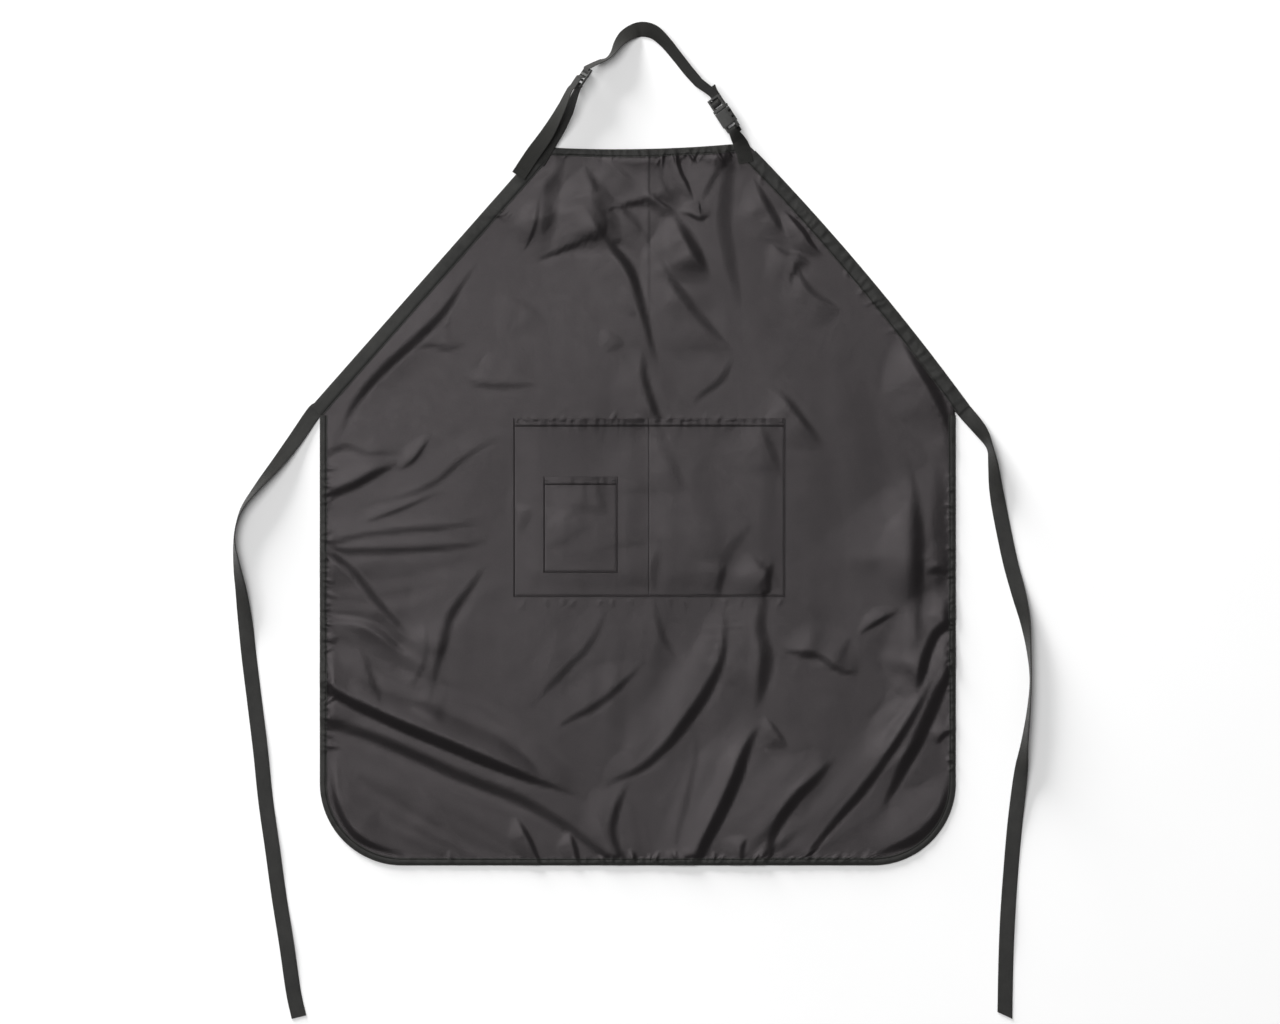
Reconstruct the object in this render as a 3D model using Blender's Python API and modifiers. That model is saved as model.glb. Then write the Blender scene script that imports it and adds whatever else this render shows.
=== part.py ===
"""Thin nylon bib apron, lying face up with its ties and neck strap loose.

Metres, +Z up. +Y points to the neck and +X to the right of someone looking down at the
front. The origin is on the panel's back face, where the pressed centre crease crosses
the waist line. Every piece of cloth is a plain closed solid, thicker than the real cloth.
The panel's underside is recessed where a tape's lower leaf wraps round its edge, so that
its back face and the tapes lie on one plane.
"""
import math

import bpy
from mathutils import Matrix, Vector

# Layers: cloth thicknesses and the clearance between touching pieces
GAP = 0.0003
PANEL_T = 0.0012
TAPE_T = 0.0007
WEBBING_T = 0.0010
TABLE = 0.0
EDGE_UNDER = TABLE + TAPE_T + GAP
PANEL_TOP = EDGE_UNDER + PANEL_T
LEAF_TOP = PANEL_TOP + GAP + TAPE_T

# Body panel
SKIRT_LEFT = -0.394
SKIRT_RIGHT = 0.367
SKIRT_BOTTOM = -0.543
CORNER_R = 0.098
BIB_LEFT = Vector((-0.130, 0.317))
BIB_RIGHT = Vector((0.118, 0.322))
BIB_SAG = 0.005
WAIST_LEFT = Vector((SKIRT_LEFT, 0.018))
WAIST_RIGHT = Vector((SKIRT_RIGHT, 0.030))
ARMHOLE_BULGE_RIGHT = 0.0065

# Armhole bands and the ties that they run on into
BAND_WIDTH = 0.017
TIE_WIDTH = 0.018
TIE_T = 0.0012
TIE_PIVOT_LEFT = Vector((-0.404, 0.0))
TIE_PIVOT_RIGHT = Vector((0.380, 0.0))
BAND_END_CLEARANCE = 0.0098
BAND_BIB_SETBACK = 0.002
TIE_EYE_CLEARANCE = 0.0001

# Edge binding and the hem of the bib
BINDING_WIDTH = 0.008
BINDING_START = -0.012
HEM_WIDTH = 0.009
HEM_LEFT = -0.103
HEM_RIGHT = 0.090

# Pockets, held a finger's thickness open
POCKET_WIDTH = 0.326
POCKET_HEIGHT = 0.214
POCKET_TOP = -0.008
SMALL_WIDTH = 0.089
SMALL_HEIGHT = 0.115
SMALL_CENTRE_X = -0.0825
SMALL_TOP = -0.078
POCKET_DEPTH = 0.0053
POCKET_WALL = 0.0010
POCKET_T = 0.0008
HEM_DROP = 0.0084
SEAM_BELOW_HEM = 0.002

# Seams
THREAD_R = 0.00025
SEAM_INSET = 0.0018
SEAM_START = 0.002
HEM_SEAM_INSET = 0.004
TACK = Vector((0.007, 0.0014, 0.0006))
TACK_DROP = 0.004
TACK_BEVEL = 0.0002

# Neck webbing, slider and buckle
WEBBING_WIDTH = 0.018
STRAP_REST = LEAF_TOP + 0.0005
TAIL_REST = STRAP_REST + 0.0033
TAIL_HEM = 0.010
STITCH_HALF = 0.006
STITCH_START = 0.003
SLIDER_CENTRE = Vector((-0.0790, 0.4010, 0.0135))
SLIDER_HEADING = 56.0
SLIDER_ROLL = 66.0
SLIDER_WIDTH = 0.023
SLIDER_LENGTH = 0.025
SLIDER_T = 0.0024
SLIDER_BAR = 0.003
SLIDER_BEVEL = 0.0004
SLOT_WIDTH = 0.0194
THROUGH = 0.010
PLY = 0.0021
LOOP_R = 0.0027
OVER_LOOP = LOOP_R + WEBBING_T + 2 * GAP
WEAVE_LEAD = 0.0009
STUB_DROP = 0.0041
PLY_TURN = 0.0040
STRAP_RETURN = 0.007
STRAP_ENTRY = 0.005
TAIL_RUN = 0.011
TAIL_LIFT = 0.0008
BUCKLE_CENTRE = Vector((0.0870, 0.3612, 0.0132))
BUCKLE_HEADING = 123.0
BUCKLE_ROLL = 56.0
BUCKLE_WIDTH = 0.026
BUCKLE_T = 0.007
FEMALE_LENGTH = 0.020
FEMALE_TOTAL = 0.0272
SOCKET_SLOT = (-0.0246, -0.0204)
SOCKET_BEVEL = 0.0012
SOCKET_WALL = 0.0015
SOCKET_OVERLAP = 0.003
CAVITY_HALF = Vector((0.0106, 0.0022))
WINDOW_NEAR = -0.004
WINDOW_FAR = -0.0145
MALE_SHOULDER = 0.004
MALE_LENGTH = 0.0184
PLUG_SLOTS = ((0.0048, 0.0090), (0.0118, 0.0160))
MALE_FRAME_T = 0.0028
MALE_BEVEL = 0.0010
MALE_OVERLAP = 0.002
TONGUE_HALF_WIDTH = 0.003
TONGUE_HALF_T = 0.0017
TONGUE_LENGTH = 0.0160
PRONG_X = 0.0092
PRONG_LENGTH = 0.0135
PRONG_BEVEL = 0.0003
PRONG_HALF = 0.0010
BARB_OUT = 0.0034
PRONG_OUTLINE = (
    (-PRONG_HALF, 0.0), (PRONG_HALF, 0.0), (PRONG_HALF, -0.0055), (BARB_OUT, -0.0075),
    (BARB_OUT, -0.0115), (2 * PRONG_HALF, -PRONG_LENGTH), (0.2 * PRONG_HALF, -PRONG_LENGTH),
    (-0.8 * PRONG_HALF, -0.0100),
)

COLOURS = {
    "nylon": ((0.072, 0.066, 0.068, 1.0), 0.38),
    "tape": ((0.040, 0.040, 0.035, 1.0), 0.60),
    "webbing": ((0.038, 0.038, 0.034, 1.0), 0.75),
    "thread": ((0.022, 0.021, 0.020, 1.0), 0.70),
    "plastic": ((0.100, 0.100, 0.095, 1.0), 0.45),
}
SLOTS = {
    "nylon": ("body_panel", "pocket_panel", "small_pocket_panel"),
    "tape": ("top_hem_band", "left_armhole_band", "right_armhole_band", "edge_binding",
             "left_waist_tie", "right_waist_tie"),
    "webbing": ("neck_strap", "strap_tail", "left_bib_strap", "right_bib_strap"),
    "plastic": ("strap_slider", "buckle_socket", "buckle_plug", "buckle_prong_left",
                "buckle_prong_right"),
}


# ---------------------------------------------------------------- scene and helpers

def clear_scene():
    for old in list(bpy.data.objects):
        bpy.data.objects.remove(old, do_unlink=True)


def new_collection(name):
    collection = bpy.data.collections.new(name)
    bpy.context.scene.collection.children.link(collection)
    return collection


def slot_of(name):
    for slot, names in SLOTS.items():
        if name in names:
            return slot
    return "thread"


def material_for(name):
    colour, roughness = COLOURS[slot_of(name)]
    material = bpy.data.materials.new(name + "_material")
    material.use_nodes = True
    shader = material.node_tree.nodes["Principled BSDF"]
    shader.inputs["Base Color"].default_value = colour
    shader.inputs["Roughness"].default_value = roughness
    shader.inputs["Metallic"].default_value = 0.0
    return material


def register(obj, name, collection):
    """Name an object, give it its own material and move it to its collection."""
    obj.name = name
    for old in list(obj.users_collection):
        old.objects.unlink(obj)
    collection.objects.link(obj)
    obj.data.materials.clear()
    obj.data.materials.append(material_for(name))
    return obj


def register_cutter(obj, name):
    register(obj, name, CUTTERS)
    obj.hide_render = True
    obj.display_type = "WIRE"
    return obj


def smooth(points, steps):
    """Catmull-Rom curve through points of any dimension, as tuples, steps per span."""
    ends = [points[0]] + list(points) + [points[-1]]
    result = []
    for i in range(1, len(ends) - 2):
        p0, p1, p2, p3 = ends[i - 1:i + 3]
        for k in range(steps):
            t = k / steps
            result.append(tuple(
                0.5 * (2 * b + (c - a) * t + (2 * a - 5 * b + 4 * c - d) * t ** 2
                       + (3 * b - a - 3 * c + d) * t ** 3)
                for a, b, c, d in zip(p0, p1, p2, p3)))
    result.append(tuple(points[-1]))
    return result


def arc(centre, radius, start, end, steps):
    angles = [math.radians(start + (end - start) * k / steps) for k in range(steps + 1)]
    return [Vector((centre[0] + radius * math.cos(a), centre[1] + radius * math.sin(a)))
            for a in angles]


def bowed(start, end, bulge, steps):
    """Points from start to end on a parabola that stands bulge off the chord's left."""
    along = end - start
    left = Vector((-along.y, along.x)).normalized()
    points = []
    for k in range(steps + 1):
        t = k / steps
        points.append(start + along * t + left * (bulge * 4 * t * (1 - t)))
    return points


def tangents(points):
    last = len(points) - 1
    return [(points[min(i + 1, last)] - points[max(i - 1, 0)]).normalized()
            for i in range(len(points))]


def loft(name, rings):
    """Closed body through rings of equal length, with flat ends."""
    count = len(rings[0])
    vertices = [point for ring in rings for point in ring]
    faces = [tuple(reversed(range(count)))]
    for i in range(len(rings) - 1):
        for k in range(count):
            a = i * count + k
            b = i * count + (k + 1) % count
            faces.append((a, b, b + count, a + count))
    first = (len(rings) - 1) * count
    faces.append(tuple(range(first, first + count)))
    mesh = bpy.data.meshes.new(name)
    mesh.from_pydata([tuple(v) for v in vertices], [], faces)
    obj = bpy.data.objects.new(name, mesh)
    return register(obj, name, PARTS)


def strip(name, stations, width, thickness):
    """Flat strip that bends and twists: stations are (centre, width direction)."""
    centres = [centre for centre, across in stations]
    headings = tangents(centres)
    rings = []
    for (centre, across), heading in zip(stations, headings):
        side = across.normalized() * width / 2
        up = heading.cross(side).normalized() * thickness / 2
        rings.append([centre + side + up, centre - side + up,
                      centre - side - up, centre + side - up])
    return loft(name, rings)


def lying(route, width, thickness, low, steps=3):
    """Stations of a strip that rests on height low. The route is (x, y, roll in degrees).

    A positive roll lifts the edge on the left of the strip's heading.
    """
    samples = smooth(route, steps)
    headings = tangents([Vector((x, y)) for x, y, roll in samples])
    stations = []
    for (x, y, roll), heading in zip(samples, headings):
        angle = math.radians(roll)
        across = Vector((-heading.y * math.cos(angle), heading.x * math.cos(angle),
                         math.sin(angle)))
        height = low + abs(math.sin(angle)) * width / 2 + math.cos(angle) * thickness / 2
        stations.append((Vector((x, y, height)), across))
    return stations


def wrapped(name, path, leaf):
    """Tape folded over the panel's edge; the panel is on the left of the path."""
    outside = -(GAP + TAPE_T)
    leaf_foot = PANEL_TOP + GAP
    section = [(outside, TABLE), (leaf, TABLE), (leaf, TABLE + TAPE_T),
               (-GAP, TABLE + TAPE_T), (-GAP, leaf_foot), (leaf, leaf_foot),
               (leaf, LEAF_TOP), (outside, LEAF_TOP)]
    return swept(name, path, section)


def swept(name, path, section):
    """Section of (depth in from the edge, height) carried along an edge of the panel."""
    rings = []
    for point, heading in zip(path, tangents(path)):
        inward = Vector((-heading.y, heading.x))
        rings.append([Vector((*(point + inward * depth), height))
                      for depth, height in section])
    return loft(name, rings)


def recess(name, path, leaf):
    """Cutter for the panel's underside, where a tape's lower leaf lies."""
    inner = leaf + GAP
    section = [(-THROUGH, TABLE - THROUGH), (inner, TABLE - THROUGH), (inner, EDGE_UNDER),
               (-THROUGH, EDGE_UNDER)]
    return register_cutter(swept(name, path, section), name)


def plate(name, outline, low, high):
    """Flat outline, extruded from height low to height high."""
    curve = bpy.data.curves.new(name, "CURVE")
    curve.dimensions = "2D"
    curve.fill_mode = "BOTH"
    curve.extrude = (high - low) / 2
    spline = curve.splines.new("POLY")
    spline.points.add(len(outline) - 1)
    for point, place in zip(spline.points, outline):
        point.co = (place[0], place[1], 0.0, 1.0)
    spline.use_cyclic_u = True
    obj = bpy.data.objects.new(name, curve)
    obj.location.z = (low + high) / 2
    return register(obj, name, PARTS)


def block(name, low, high, cutter=False):
    """Box between two corners, made from a primitive cube."""
    low = Vector(low)
    high = Vector(high)
    bpy.ops.mesh.primitive_cube_add(size=1.0)
    obj = bpy.context.active_object
    obj.data.transform(Matrix.Diagonal((*(high - low), 1.0)))
    obj.data.transform(Matrix.Translation((low + high) / 2))
    if cutter:
        return register_cutter(obj, name)
    return register(obj, name, PARTS)


def boolean(obj, other, operation):
    modifier = obj.modifiers.new(operation.lower() + "_" + other.name, "BOOLEAN")
    modifier.operation = operation
    modifier.solver = "EXACT"
    modifier.object = other


def cut(obj, cutters):
    for cutter in cutters:
        boolean(obj, cutter, "DIFFERENCE")


def round_edges(obj, width, segments=2):
    bevel = obj.modifiers.new("round_edges", "BEVEL")
    bevel.width = width
    bevel.segments = segments
    bevel.limit_method = "ANGLE"


def as_mesh(obj, name):
    """Turn a curve object into a closed mesh object of the same place."""
    bpy.context.view_layer.update()
    evaluated = obj.evaluated_get(bpy.context.evaluated_depsgraph_get())
    mesh = bpy.data.meshes.new_from_object(evaluated)
    solid = bpy.data.objects.new(name, mesh)
    solid.matrix_world = obj.matrix_world.copy()
    bpy.data.objects.remove(obj, do_unlink=True)
    weld = solid.modifiers.new("weld", "WELD")
    weld.merge_threshold = 0.00001
    return register(solid, name, PARTS)


def thread(name, points, cyclic=False):
    """Sewing thread, as a thin round line through 3D points."""
    curve = bpy.data.curves.new(name, "CURVE")
    curve.dimensions = "3D"
    curve.bevel_depth = THREAD_R
    curve.bevel_resolution = 0
    curve.use_fill_caps = not cyclic
    spline = curve.splines.new("POLY")
    spline.points.add(len(points) - 1)
    for point, place in zip(spline.points, points):
        point.co = (*place, 1.0)
    spline.use_cyclic_u = cyclic
    return register(bpy.data.objects.new(name, curve), name, PARTS)


def at_height(points, height):
    return [Vector((p[0], p[1], height)) for p in points]


def offset(path, distance):
    """The path moved to its left by a distance."""
    return [point + Vector((-heading.y, heading.x)) * distance
            for point, heading in zip(path, tangents(path))]


def placing(centre, heading, roll):
    """Frame of a fitting on the webbing: X across, Y along, Z out of its upper face."""
    along = Vector((math.cos(math.radians(heading)), math.sin(math.radians(heading)), 0.0))
    right = Vector((along.y, -along.x, 0.0))
    tilt = math.radians(roll)
    across = right * math.cos(tilt) + Vector((0.0, 0.0, math.sin(tilt)))
    face = across.cross(along)
    columns = Matrix((across, along, face)).transposed().to_4x4()
    return Matrix.Translation(centre) @ columns


# ---------------------------------------------------------------- edges of the panel

def right_armhole():
    """From the waist up to the bib, so that the panel is on the left."""
    return bowed(WAIST_RIGHT, BIB_RIGHT, -ARMHOLE_BULGE_RIGHT, 8)


def left_armhole():
    """From the bib down to the waist, so that the panel is on the left."""
    return bowed(BIB_LEFT, WAIST_LEFT, 0.0, 2)


def top_edge():
    """From the right corner of the bib to the left one."""
    return bowed(BIB_RIGHT, BIB_LEFT, BIB_SAG, 6)


def skirt_edge(left_start, right_end):
    """Down the left side, along the bottom and up the right side."""
    low = SKIRT_BOTTOM + CORNER_R
    left_corner = arc((SKIRT_LEFT + CORNER_R, low), CORNER_R, 180, 270, 10)
    right_corner = arc((SKIRT_RIGHT - CORNER_R, low), CORNER_R, 270, 360, 10)
    return ([Vector((SKIRT_LEFT, left_start))] + left_corner + right_corner
            + [Vector((SKIRT_RIGHT, right_end))])


def hem_path():
    """The part of the bib's top edge that its folded hem covers."""
    return [p for p in bowed(BIB_RIGHT, BIB_LEFT, BIB_SAG, 24) if HEM_LEFT <= p.x <= HEM_RIGHT]


def beyond(path, distance):
    """The path with both ends run on by a distance."""
    first = path[0] - (path[1] - path[0]).normalized() * distance
    last = path[-1] + (path[-1] - path[-2]).normalized() * distance
    return [first] + path + [last]


def make_panel(left_band, right_band):
    outline = left_armhole()[:-1]
    outline += skirt_edge(WAIST_LEFT.y, WAIST_RIGHT.y)
    outline += right_armhole()[1:]
    outline += top_edge()[1:-1]
    body = as_mesh(plate("panel_outline", outline, TABLE, PANEL_TOP), "body_panel")
    binding = skirt_edge(BINDING_START, BINDING_START)
    cut(body, [recess("left_band_recess", beyond(left_band, THROUGH), BAND_WIDTH),
               recess("right_band_recess", beyond(right_band, THROUGH), BAND_WIDTH),
               recess("binding_recess", beyond(binding, THROUGH), BINDING_WIDTH),
               recess("hem_recess", beyond(hem_path(), THROUGH), HEM_WIDTH)])


# ---------------------------------------------------------------- tapes and ties

def band_paths():
    """Outer edges of the two armhole bands, each with the panel on its left."""
    left_heading = (WAIST_LEFT - BIB_LEFT).normalized()
    left_end = TIE_PIVOT_LEFT - left_heading * BAND_END_CLEARANCE
    left_out = Vector((-left_heading.y, left_heading.x))
    shift = (left_end - BIB_LEFT).dot(left_heading)
    left = [BIB_LEFT + left_heading * (shift * k / 6) for k in range(7)]
    left[0] = BIB_LEFT + left_heading * BAND_BIB_SETBACK

    armhole = right_armhole()
    first_heading = (armhole[1] - armhole[0]).normalized()
    below = (armhole[0] - TIE_PIVOT_RIGHT).dot(first_heading) - BAND_END_CLEARANCE
    start = armhole[0] - first_heading * below
    last_heading = (armhole[-1] - armhole[-2]).normalized()
    right = [start] + armhole[:-1] + [armhole[-1] - last_heading * BAND_BIB_SETBACK]
    return left, right


def make_tapes(left_band, right_band):
    wrapped("left_armhole_band", left_band, BAND_WIDTH)
    wrapped("right_armhole_band", right_band, BAND_WIDTH)
    wrapped("edge_binding", skirt_edge(BINDING_START, BINDING_START), BINDING_WIDTH)
    wrapped("top_hem_band", hem_path(), HEM_WIDTH)


LEFT_TIE_ROUTE = (
    (-0.404, 0.000, 0), (-0.425, -0.034, 12), (-0.446, -0.062, 35), (-0.470, -0.091, 62),
    (-0.489, -0.118, 80), (-0.497, -0.150, 85), (-0.494, -0.185, 60), (-0.489, -0.215, 38),
    (-0.484, -0.255, 12), (-0.480, -0.293, 0), (-0.473, -0.350, 0), (-0.466, -0.408, 4),
    (-0.460, -0.466, 0), (-0.452, -0.523, 5), (-0.444, -0.581, 0), (-0.435, -0.638, 5),
    (-0.4266, -0.696, 0), (-0.420, -0.726, 0),
)
RIGHT_TIE_ROUTE = (
    (0.380, 0.000, 0), (0.3975, -0.022, 30), (0.4085, -0.042, 66), (0.4125, -0.062, 52),
    (0.416, -0.091, 28), (0.422, -0.125, 8), (0.433, -0.178, 5), (0.443, -0.216, 18),
    (0.451, -0.250, 48), (0.4555, -0.286, 76), (0.4575, -0.322, 88), (0.455, -0.360, 80),
    (0.450, -0.400, 62), (0.4455, -0.437, 25), (0.439, -0.494, 5), (0.434, -0.552, 0),
    (0.430, -0.610, 4), (0.428, -0.667, 0), (0.427, -0.724, 0),
)


def make_tie(name, route, pivot):
    """Tie with a round upper end on its pivot; its object's origin is on the pivot."""
    stations = lying(route, TIE_WIDTH, TIE_T, TABLE)
    body = strip(name, stations, TIE_WIDTH, TIE_T)
    bpy.ops.mesh.primitive_cylinder_add(
        vertices=24, radius=TIE_WIDTH / 2 - TIE_EYE_CLEARANCE, depth=TIE_T)
    eye = bpy.context.active_object
    eye.data.transform(Matrix.Translation((pivot.x, pivot.y, TABLE + TIE_T / 2)))
    register_cutter(eye, name + "_round_end")
    boolean(body, eye, "UNION")
    body.data.transform(Matrix.Translation((-pivot.x, -pivot.y, 0.0)))
    body.location = (pivot.x, pivot.y, 0.0)
    return body


# ---------------------------------------------------------------- pockets

def make_pocket(name, left, right, top, height, low, cells):
    """Patch sewn down on three sides, with its mouth at the top, split into cells."""
    high = low + POCKET_DEPTH - GAP
    bottom = top - height
    body = block(name, (left, bottom, low), (right, top, high + POCKET_T))
    cell_width = (right - left - POCKET_WALL * (cells + 1)) / cells
    cutters = []
    for k in range(cells):
        cell_left = left + POCKET_WALL + k * (cell_width + POCKET_WALL)
        cutters.append(block(name + "_hollow_%d" % (k + 1),
                             (cell_left, bottom + POCKET_WALL, low - THROUGH),
                             (cell_left + cell_width, top + THROUGH, high), cutter=True))
    cut(body, cutters)
    return high + POCKET_T


def make_pockets():
    half = POCKET_WIDTH / 2
    top_face = make_pocket("pocket_panel", -half, half, POCKET_TOP, POCKET_HEIGHT,
                           PANEL_TOP + GAP, 2)
    small_left = SMALL_CENTRE_X - SMALL_WIDTH / 2
    small_face = make_pocket("small_pocket_panel", small_left, small_left + SMALL_WIDTH,
                             SMALL_TOP, SMALL_HEIGHT, top_face + GAP, 1)
    return top_face, small_face


def pocket_seams(prefix, left, right, top, height, face):
    """Thread round three sides, the hem's thread and a bar tack at each mouth corner."""
    level = face + GAP + THREAD_R
    x0 = left + SEAM_INSET
    x1 = right - SEAM_INSET
    below_hem = top - HEM_DROP - SEAM_BELOW_HEM
    foot = top - height + SEAM_INSET
    thread(prefix + "_seam", at_height([(x0, below_hem), (x0, foot), (x1, foot),
                                        (x1, below_hem)], level))
    hem = top - HEM_DROP
    thread(prefix + "_hem_seam", at_height([(x0, hem), (x1, hem)], level))
    low = face + GAP
    for side, x in (("left", left), ("right", right - TACK.x)):
        tack = block(prefix + "_tack_" + side, (x, top - TACK_DROP - TACK.y, low),
                     (x + TACK.x, top - TACK_DROP, low + TACK.z))
        round_edges(tack, TACK_BEVEL, 1)
    return foot, level


def make_seams(left_band, right_band, pocket_face, small_face):
    half = POCKET_WIDTH / 2
    foot, level = pocket_seams("pocket", -half, half, POCKET_TOP, POCKET_HEIGHT, pocket_face)
    thread("pocket_divider_seam",
           at_height([(0.0, POCKET_TOP - HEM_DROP - SEAM_BELOW_HEM),
                      (0.0, foot + SEAM_START)], level))
    small_left = SMALL_CENTRE_X - SMALL_WIDTH / 2
    pocket_seams("small_pocket", small_left, small_left + SMALL_WIDTH, SMALL_TOP,
                 SMALL_HEIGHT, small_face)
    on_leaf = LEAF_TOP + GAP + THREAD_R
    band_inset = BAND_WIDTH - SEAM_INSET
    thread("left_band_seam", at_height(offset(left_band[1:], band_inset), on_leaf))
    thread("right_band_seam", at_height(offset(right_band[:-1], band_inset), on_leaf))
    binding = skirt_edge(BINDING_START - SEAM_START, BINDING_START - SEAM_START)
    thread("binding_seam", at_height(offset(binding, BINDING_WIDTH - SEAM_INSET), on_leaf))
    hem = [p for p in hem_path()
           if HEM_LEFT + HEM_SEAM_INSET <= p.x <= HEM_RIGHT - HEM_SEAM_INSET]
    thread("top_hem_seam", at_height(offset(hem, HEM_WIDTH - SEAM_INSET), on_leaf))


# ---------------------------------------------------------------- slider on the left strap

def make_slider(place):
    """Ladder slider: a rounded frame with three slots and four cross bars."""
    half_w = SLIDER_WIDTH / 2
    half_l = SLIDER_LENGTH / 2
    body = block("strap_slider", (-half_w, -half_l, -SLIDER_T / 2),
                 (half_w, half_l, SLIDER_T / 2))
    slot = (SLIDER_LENGTH - 4 * SLIDER_BAR) / 3
    cutters = []
    for k in range(3):
        low = -half_l + SLIDER_BAR + k * (slot + SLIDER_BAR)
        cutters.append(block("slider_slot_%d" % (k + 1), (-SLOT_WIDTH / 2, low, -THROUGH),
                             (SLOT_WIDTH / 2, low + slot, THROUGH), cutter=True))
    cut(body, cutters)
    round_edges(body, SLIDER_BEVEL)
    for obj in [body] + cutters:
        obj.matrix_world = place


def slider_bar(k):
    """Distance of cross bar k's middle along the slider."""
    step = (SLIDER_LENGTH - SLIDER_BAR) / 3
    return -SLIDER_LENGTH / 2 + SLIDER_BAR / 2 + k * step


def on_fitting(place, points):
    """Stations on a fitting: points are (along, height) in its frame."""
    across = place.to_3x3() @ Vector((-1.0, 0.0, 0.0))
    return [(place @ Vector((0.0, along, height)), across) for along, height in points]


def loop_round(bar, start_height, steps=8):
    """Half circle over the far side of a bar, from start_height to its opposite."""
    radius = abs(start_height)
    side = math.copysign(1.0, start_height)
    points = []
    for k in range(steps + 1):
        angle = math.pi * (0.5 - k / steps)
        points.append((bar + radius * math.cos(angle), side * radius * math.sin(angle)))
    return points


def weave(start, end, steps=6):
    """S-shaped run of webbing through a slot, as (along, height) points."""
    points = []
    for k in range(steps + 1):
        t = k / steps
        ease = (1 - math.cos(math.pi * t)) / 2
        points.append((start[0] + (end[0] - start[0]) * t,
                       start[1] + (end[1] - start[1]) * ease))
    return points


# ---------------------------------------------------------------- side-release buckle

def make_socket(place):
    """Female half: a flat open box with a side window for each prong and a strap bar."""
    half_w = BUCKLE_WIDTH / 2
    half_t = BUCKLE_T / 2
    body = block("buckle_socket", (-half_w, -FEMALE_LENGTH, -half_t), (half_w, 0.0, half_t))
    round_edges(body, SOCKET_BEVEL)
    tail = block("socket_strap_frame", (-half_w, -FEMALE_TOTAL, -MALE_FRAME_T / 2),
                 (half_w, -FEMALE_LENGTH + SOCKET_OVERLAP, MALE_FRAME_T / 2), cutter=True)
    boolean(body, tail, "UNION")
    cavity = block("socket_cavity",
                   (-CAVITY_HALF.x, -FEMALE_LENGTH + SOCKET_WALL, -CAVITY_HALF.y),
                   (CAVITY_HALF.x, THROUGH, CAVITY_HALF.y), cutter=True)
    windows = block("socket_windows", (-BUCKLE_WIDTH, WINDOW_FAR, -CAVITY_HALF.y),
                    (BUCKLE_WIDTH, WINDOW_NEAR, CAVITY_HALF.y), cutter=True)
    slot = block("socket_slot", (-SLOT_WIDTH / 2, SOCKET_SLOT[0], -THROUGH),
                 (SLOT_WIDTH / 2, SOCKET_SLOT[1], THROUGH), cutter=True)
    cut(body, [cavity, windows, slot])
    for obj in (body, tail, cavity, windows, slot):
        obj.matrix_world = place


def make_plug(place):
    """Male half: a shoulder, a middle tongue and a ladder frame for the webbing."""
    half_w = BUCKLE_WIDTH / 2
    half_t = BUCKLE_T / 2
    body = block("buckle_plug", (-half_w, GAP, -half_t), (half_w, MALE_SHOULDER, half_t))
    round_edges(body, MALE_BEVEL)
    frame = block("plug_frame", (-half_w, MALE_SHOULDER - MALE_OVERLAP, -MALE_FRAME_T / 2),
                  (half_w, MALE_LENGTH, MALE_FRAME_T / 2), cutter=True)
    tongue = block("plug_tongue", (-TONGUE_HALF_WIDTH, -TONGUE_LENGTH, -TONGUE_HALF_T),
                   (TONGUE_HALF_WIDTH, GAP + MALE_OVERLAP, TONGUE_HALF_T), cutter=True)
    boolean(body, frame, "UNION")
    boolean(body, tongue, "UNION")
    cutters = []
    for k, (low, high) in enumerate(PLUG_SLOTS):
        cutters.append(block("plug_slot_%d" % (k + 1), (-SLOT_WIDTH / 2, low, -THROUGH),
                             (SLOT_WIDTH / 2, high, THROUGH), cutter=True))
    cut(body, cutters)
    for obj in [body, frame, tongue] + cutters:
        obj.matrix_world = place


def make_prong(name, side, place):
    """Spring arm with a thumb barb; its origin is on its flexing root."""
    outline = [(side * x, y) for x, y in PRONG_OUTLINE]
    flat = plate(name + "_outline", outline, -TONGUE_HALF_T, TONGUE_HALF_T)
    flat.location.z = 0.0
    body = as_mesh(flat, name)
    round_edges(body, PRONG_BEVEL, 1)
    body.matrix_world = place @ Matrix.Translation((side * PRONG_X, 0.0, 0.0))


# ---------------------------------------------------------------- neck webbing

NECK_ROUTE = (
    (-0.0590, 0.4200, -72), (-0.0500, 0.4235, -78), (-0.0430, 0.4310, -70),
    (-0.0365, 0.4420, -50), (-0.0270, 0.4520, -25), (-0.0110, 0.4590, 0),
    (0.0050, 0.4560, 22), (0.0190, 0.4440, 40), (0.0330, 0.4270, 46),
    (0.0480, 0.4080, 48), (0.0600, 0.3945, 52),
)


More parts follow.
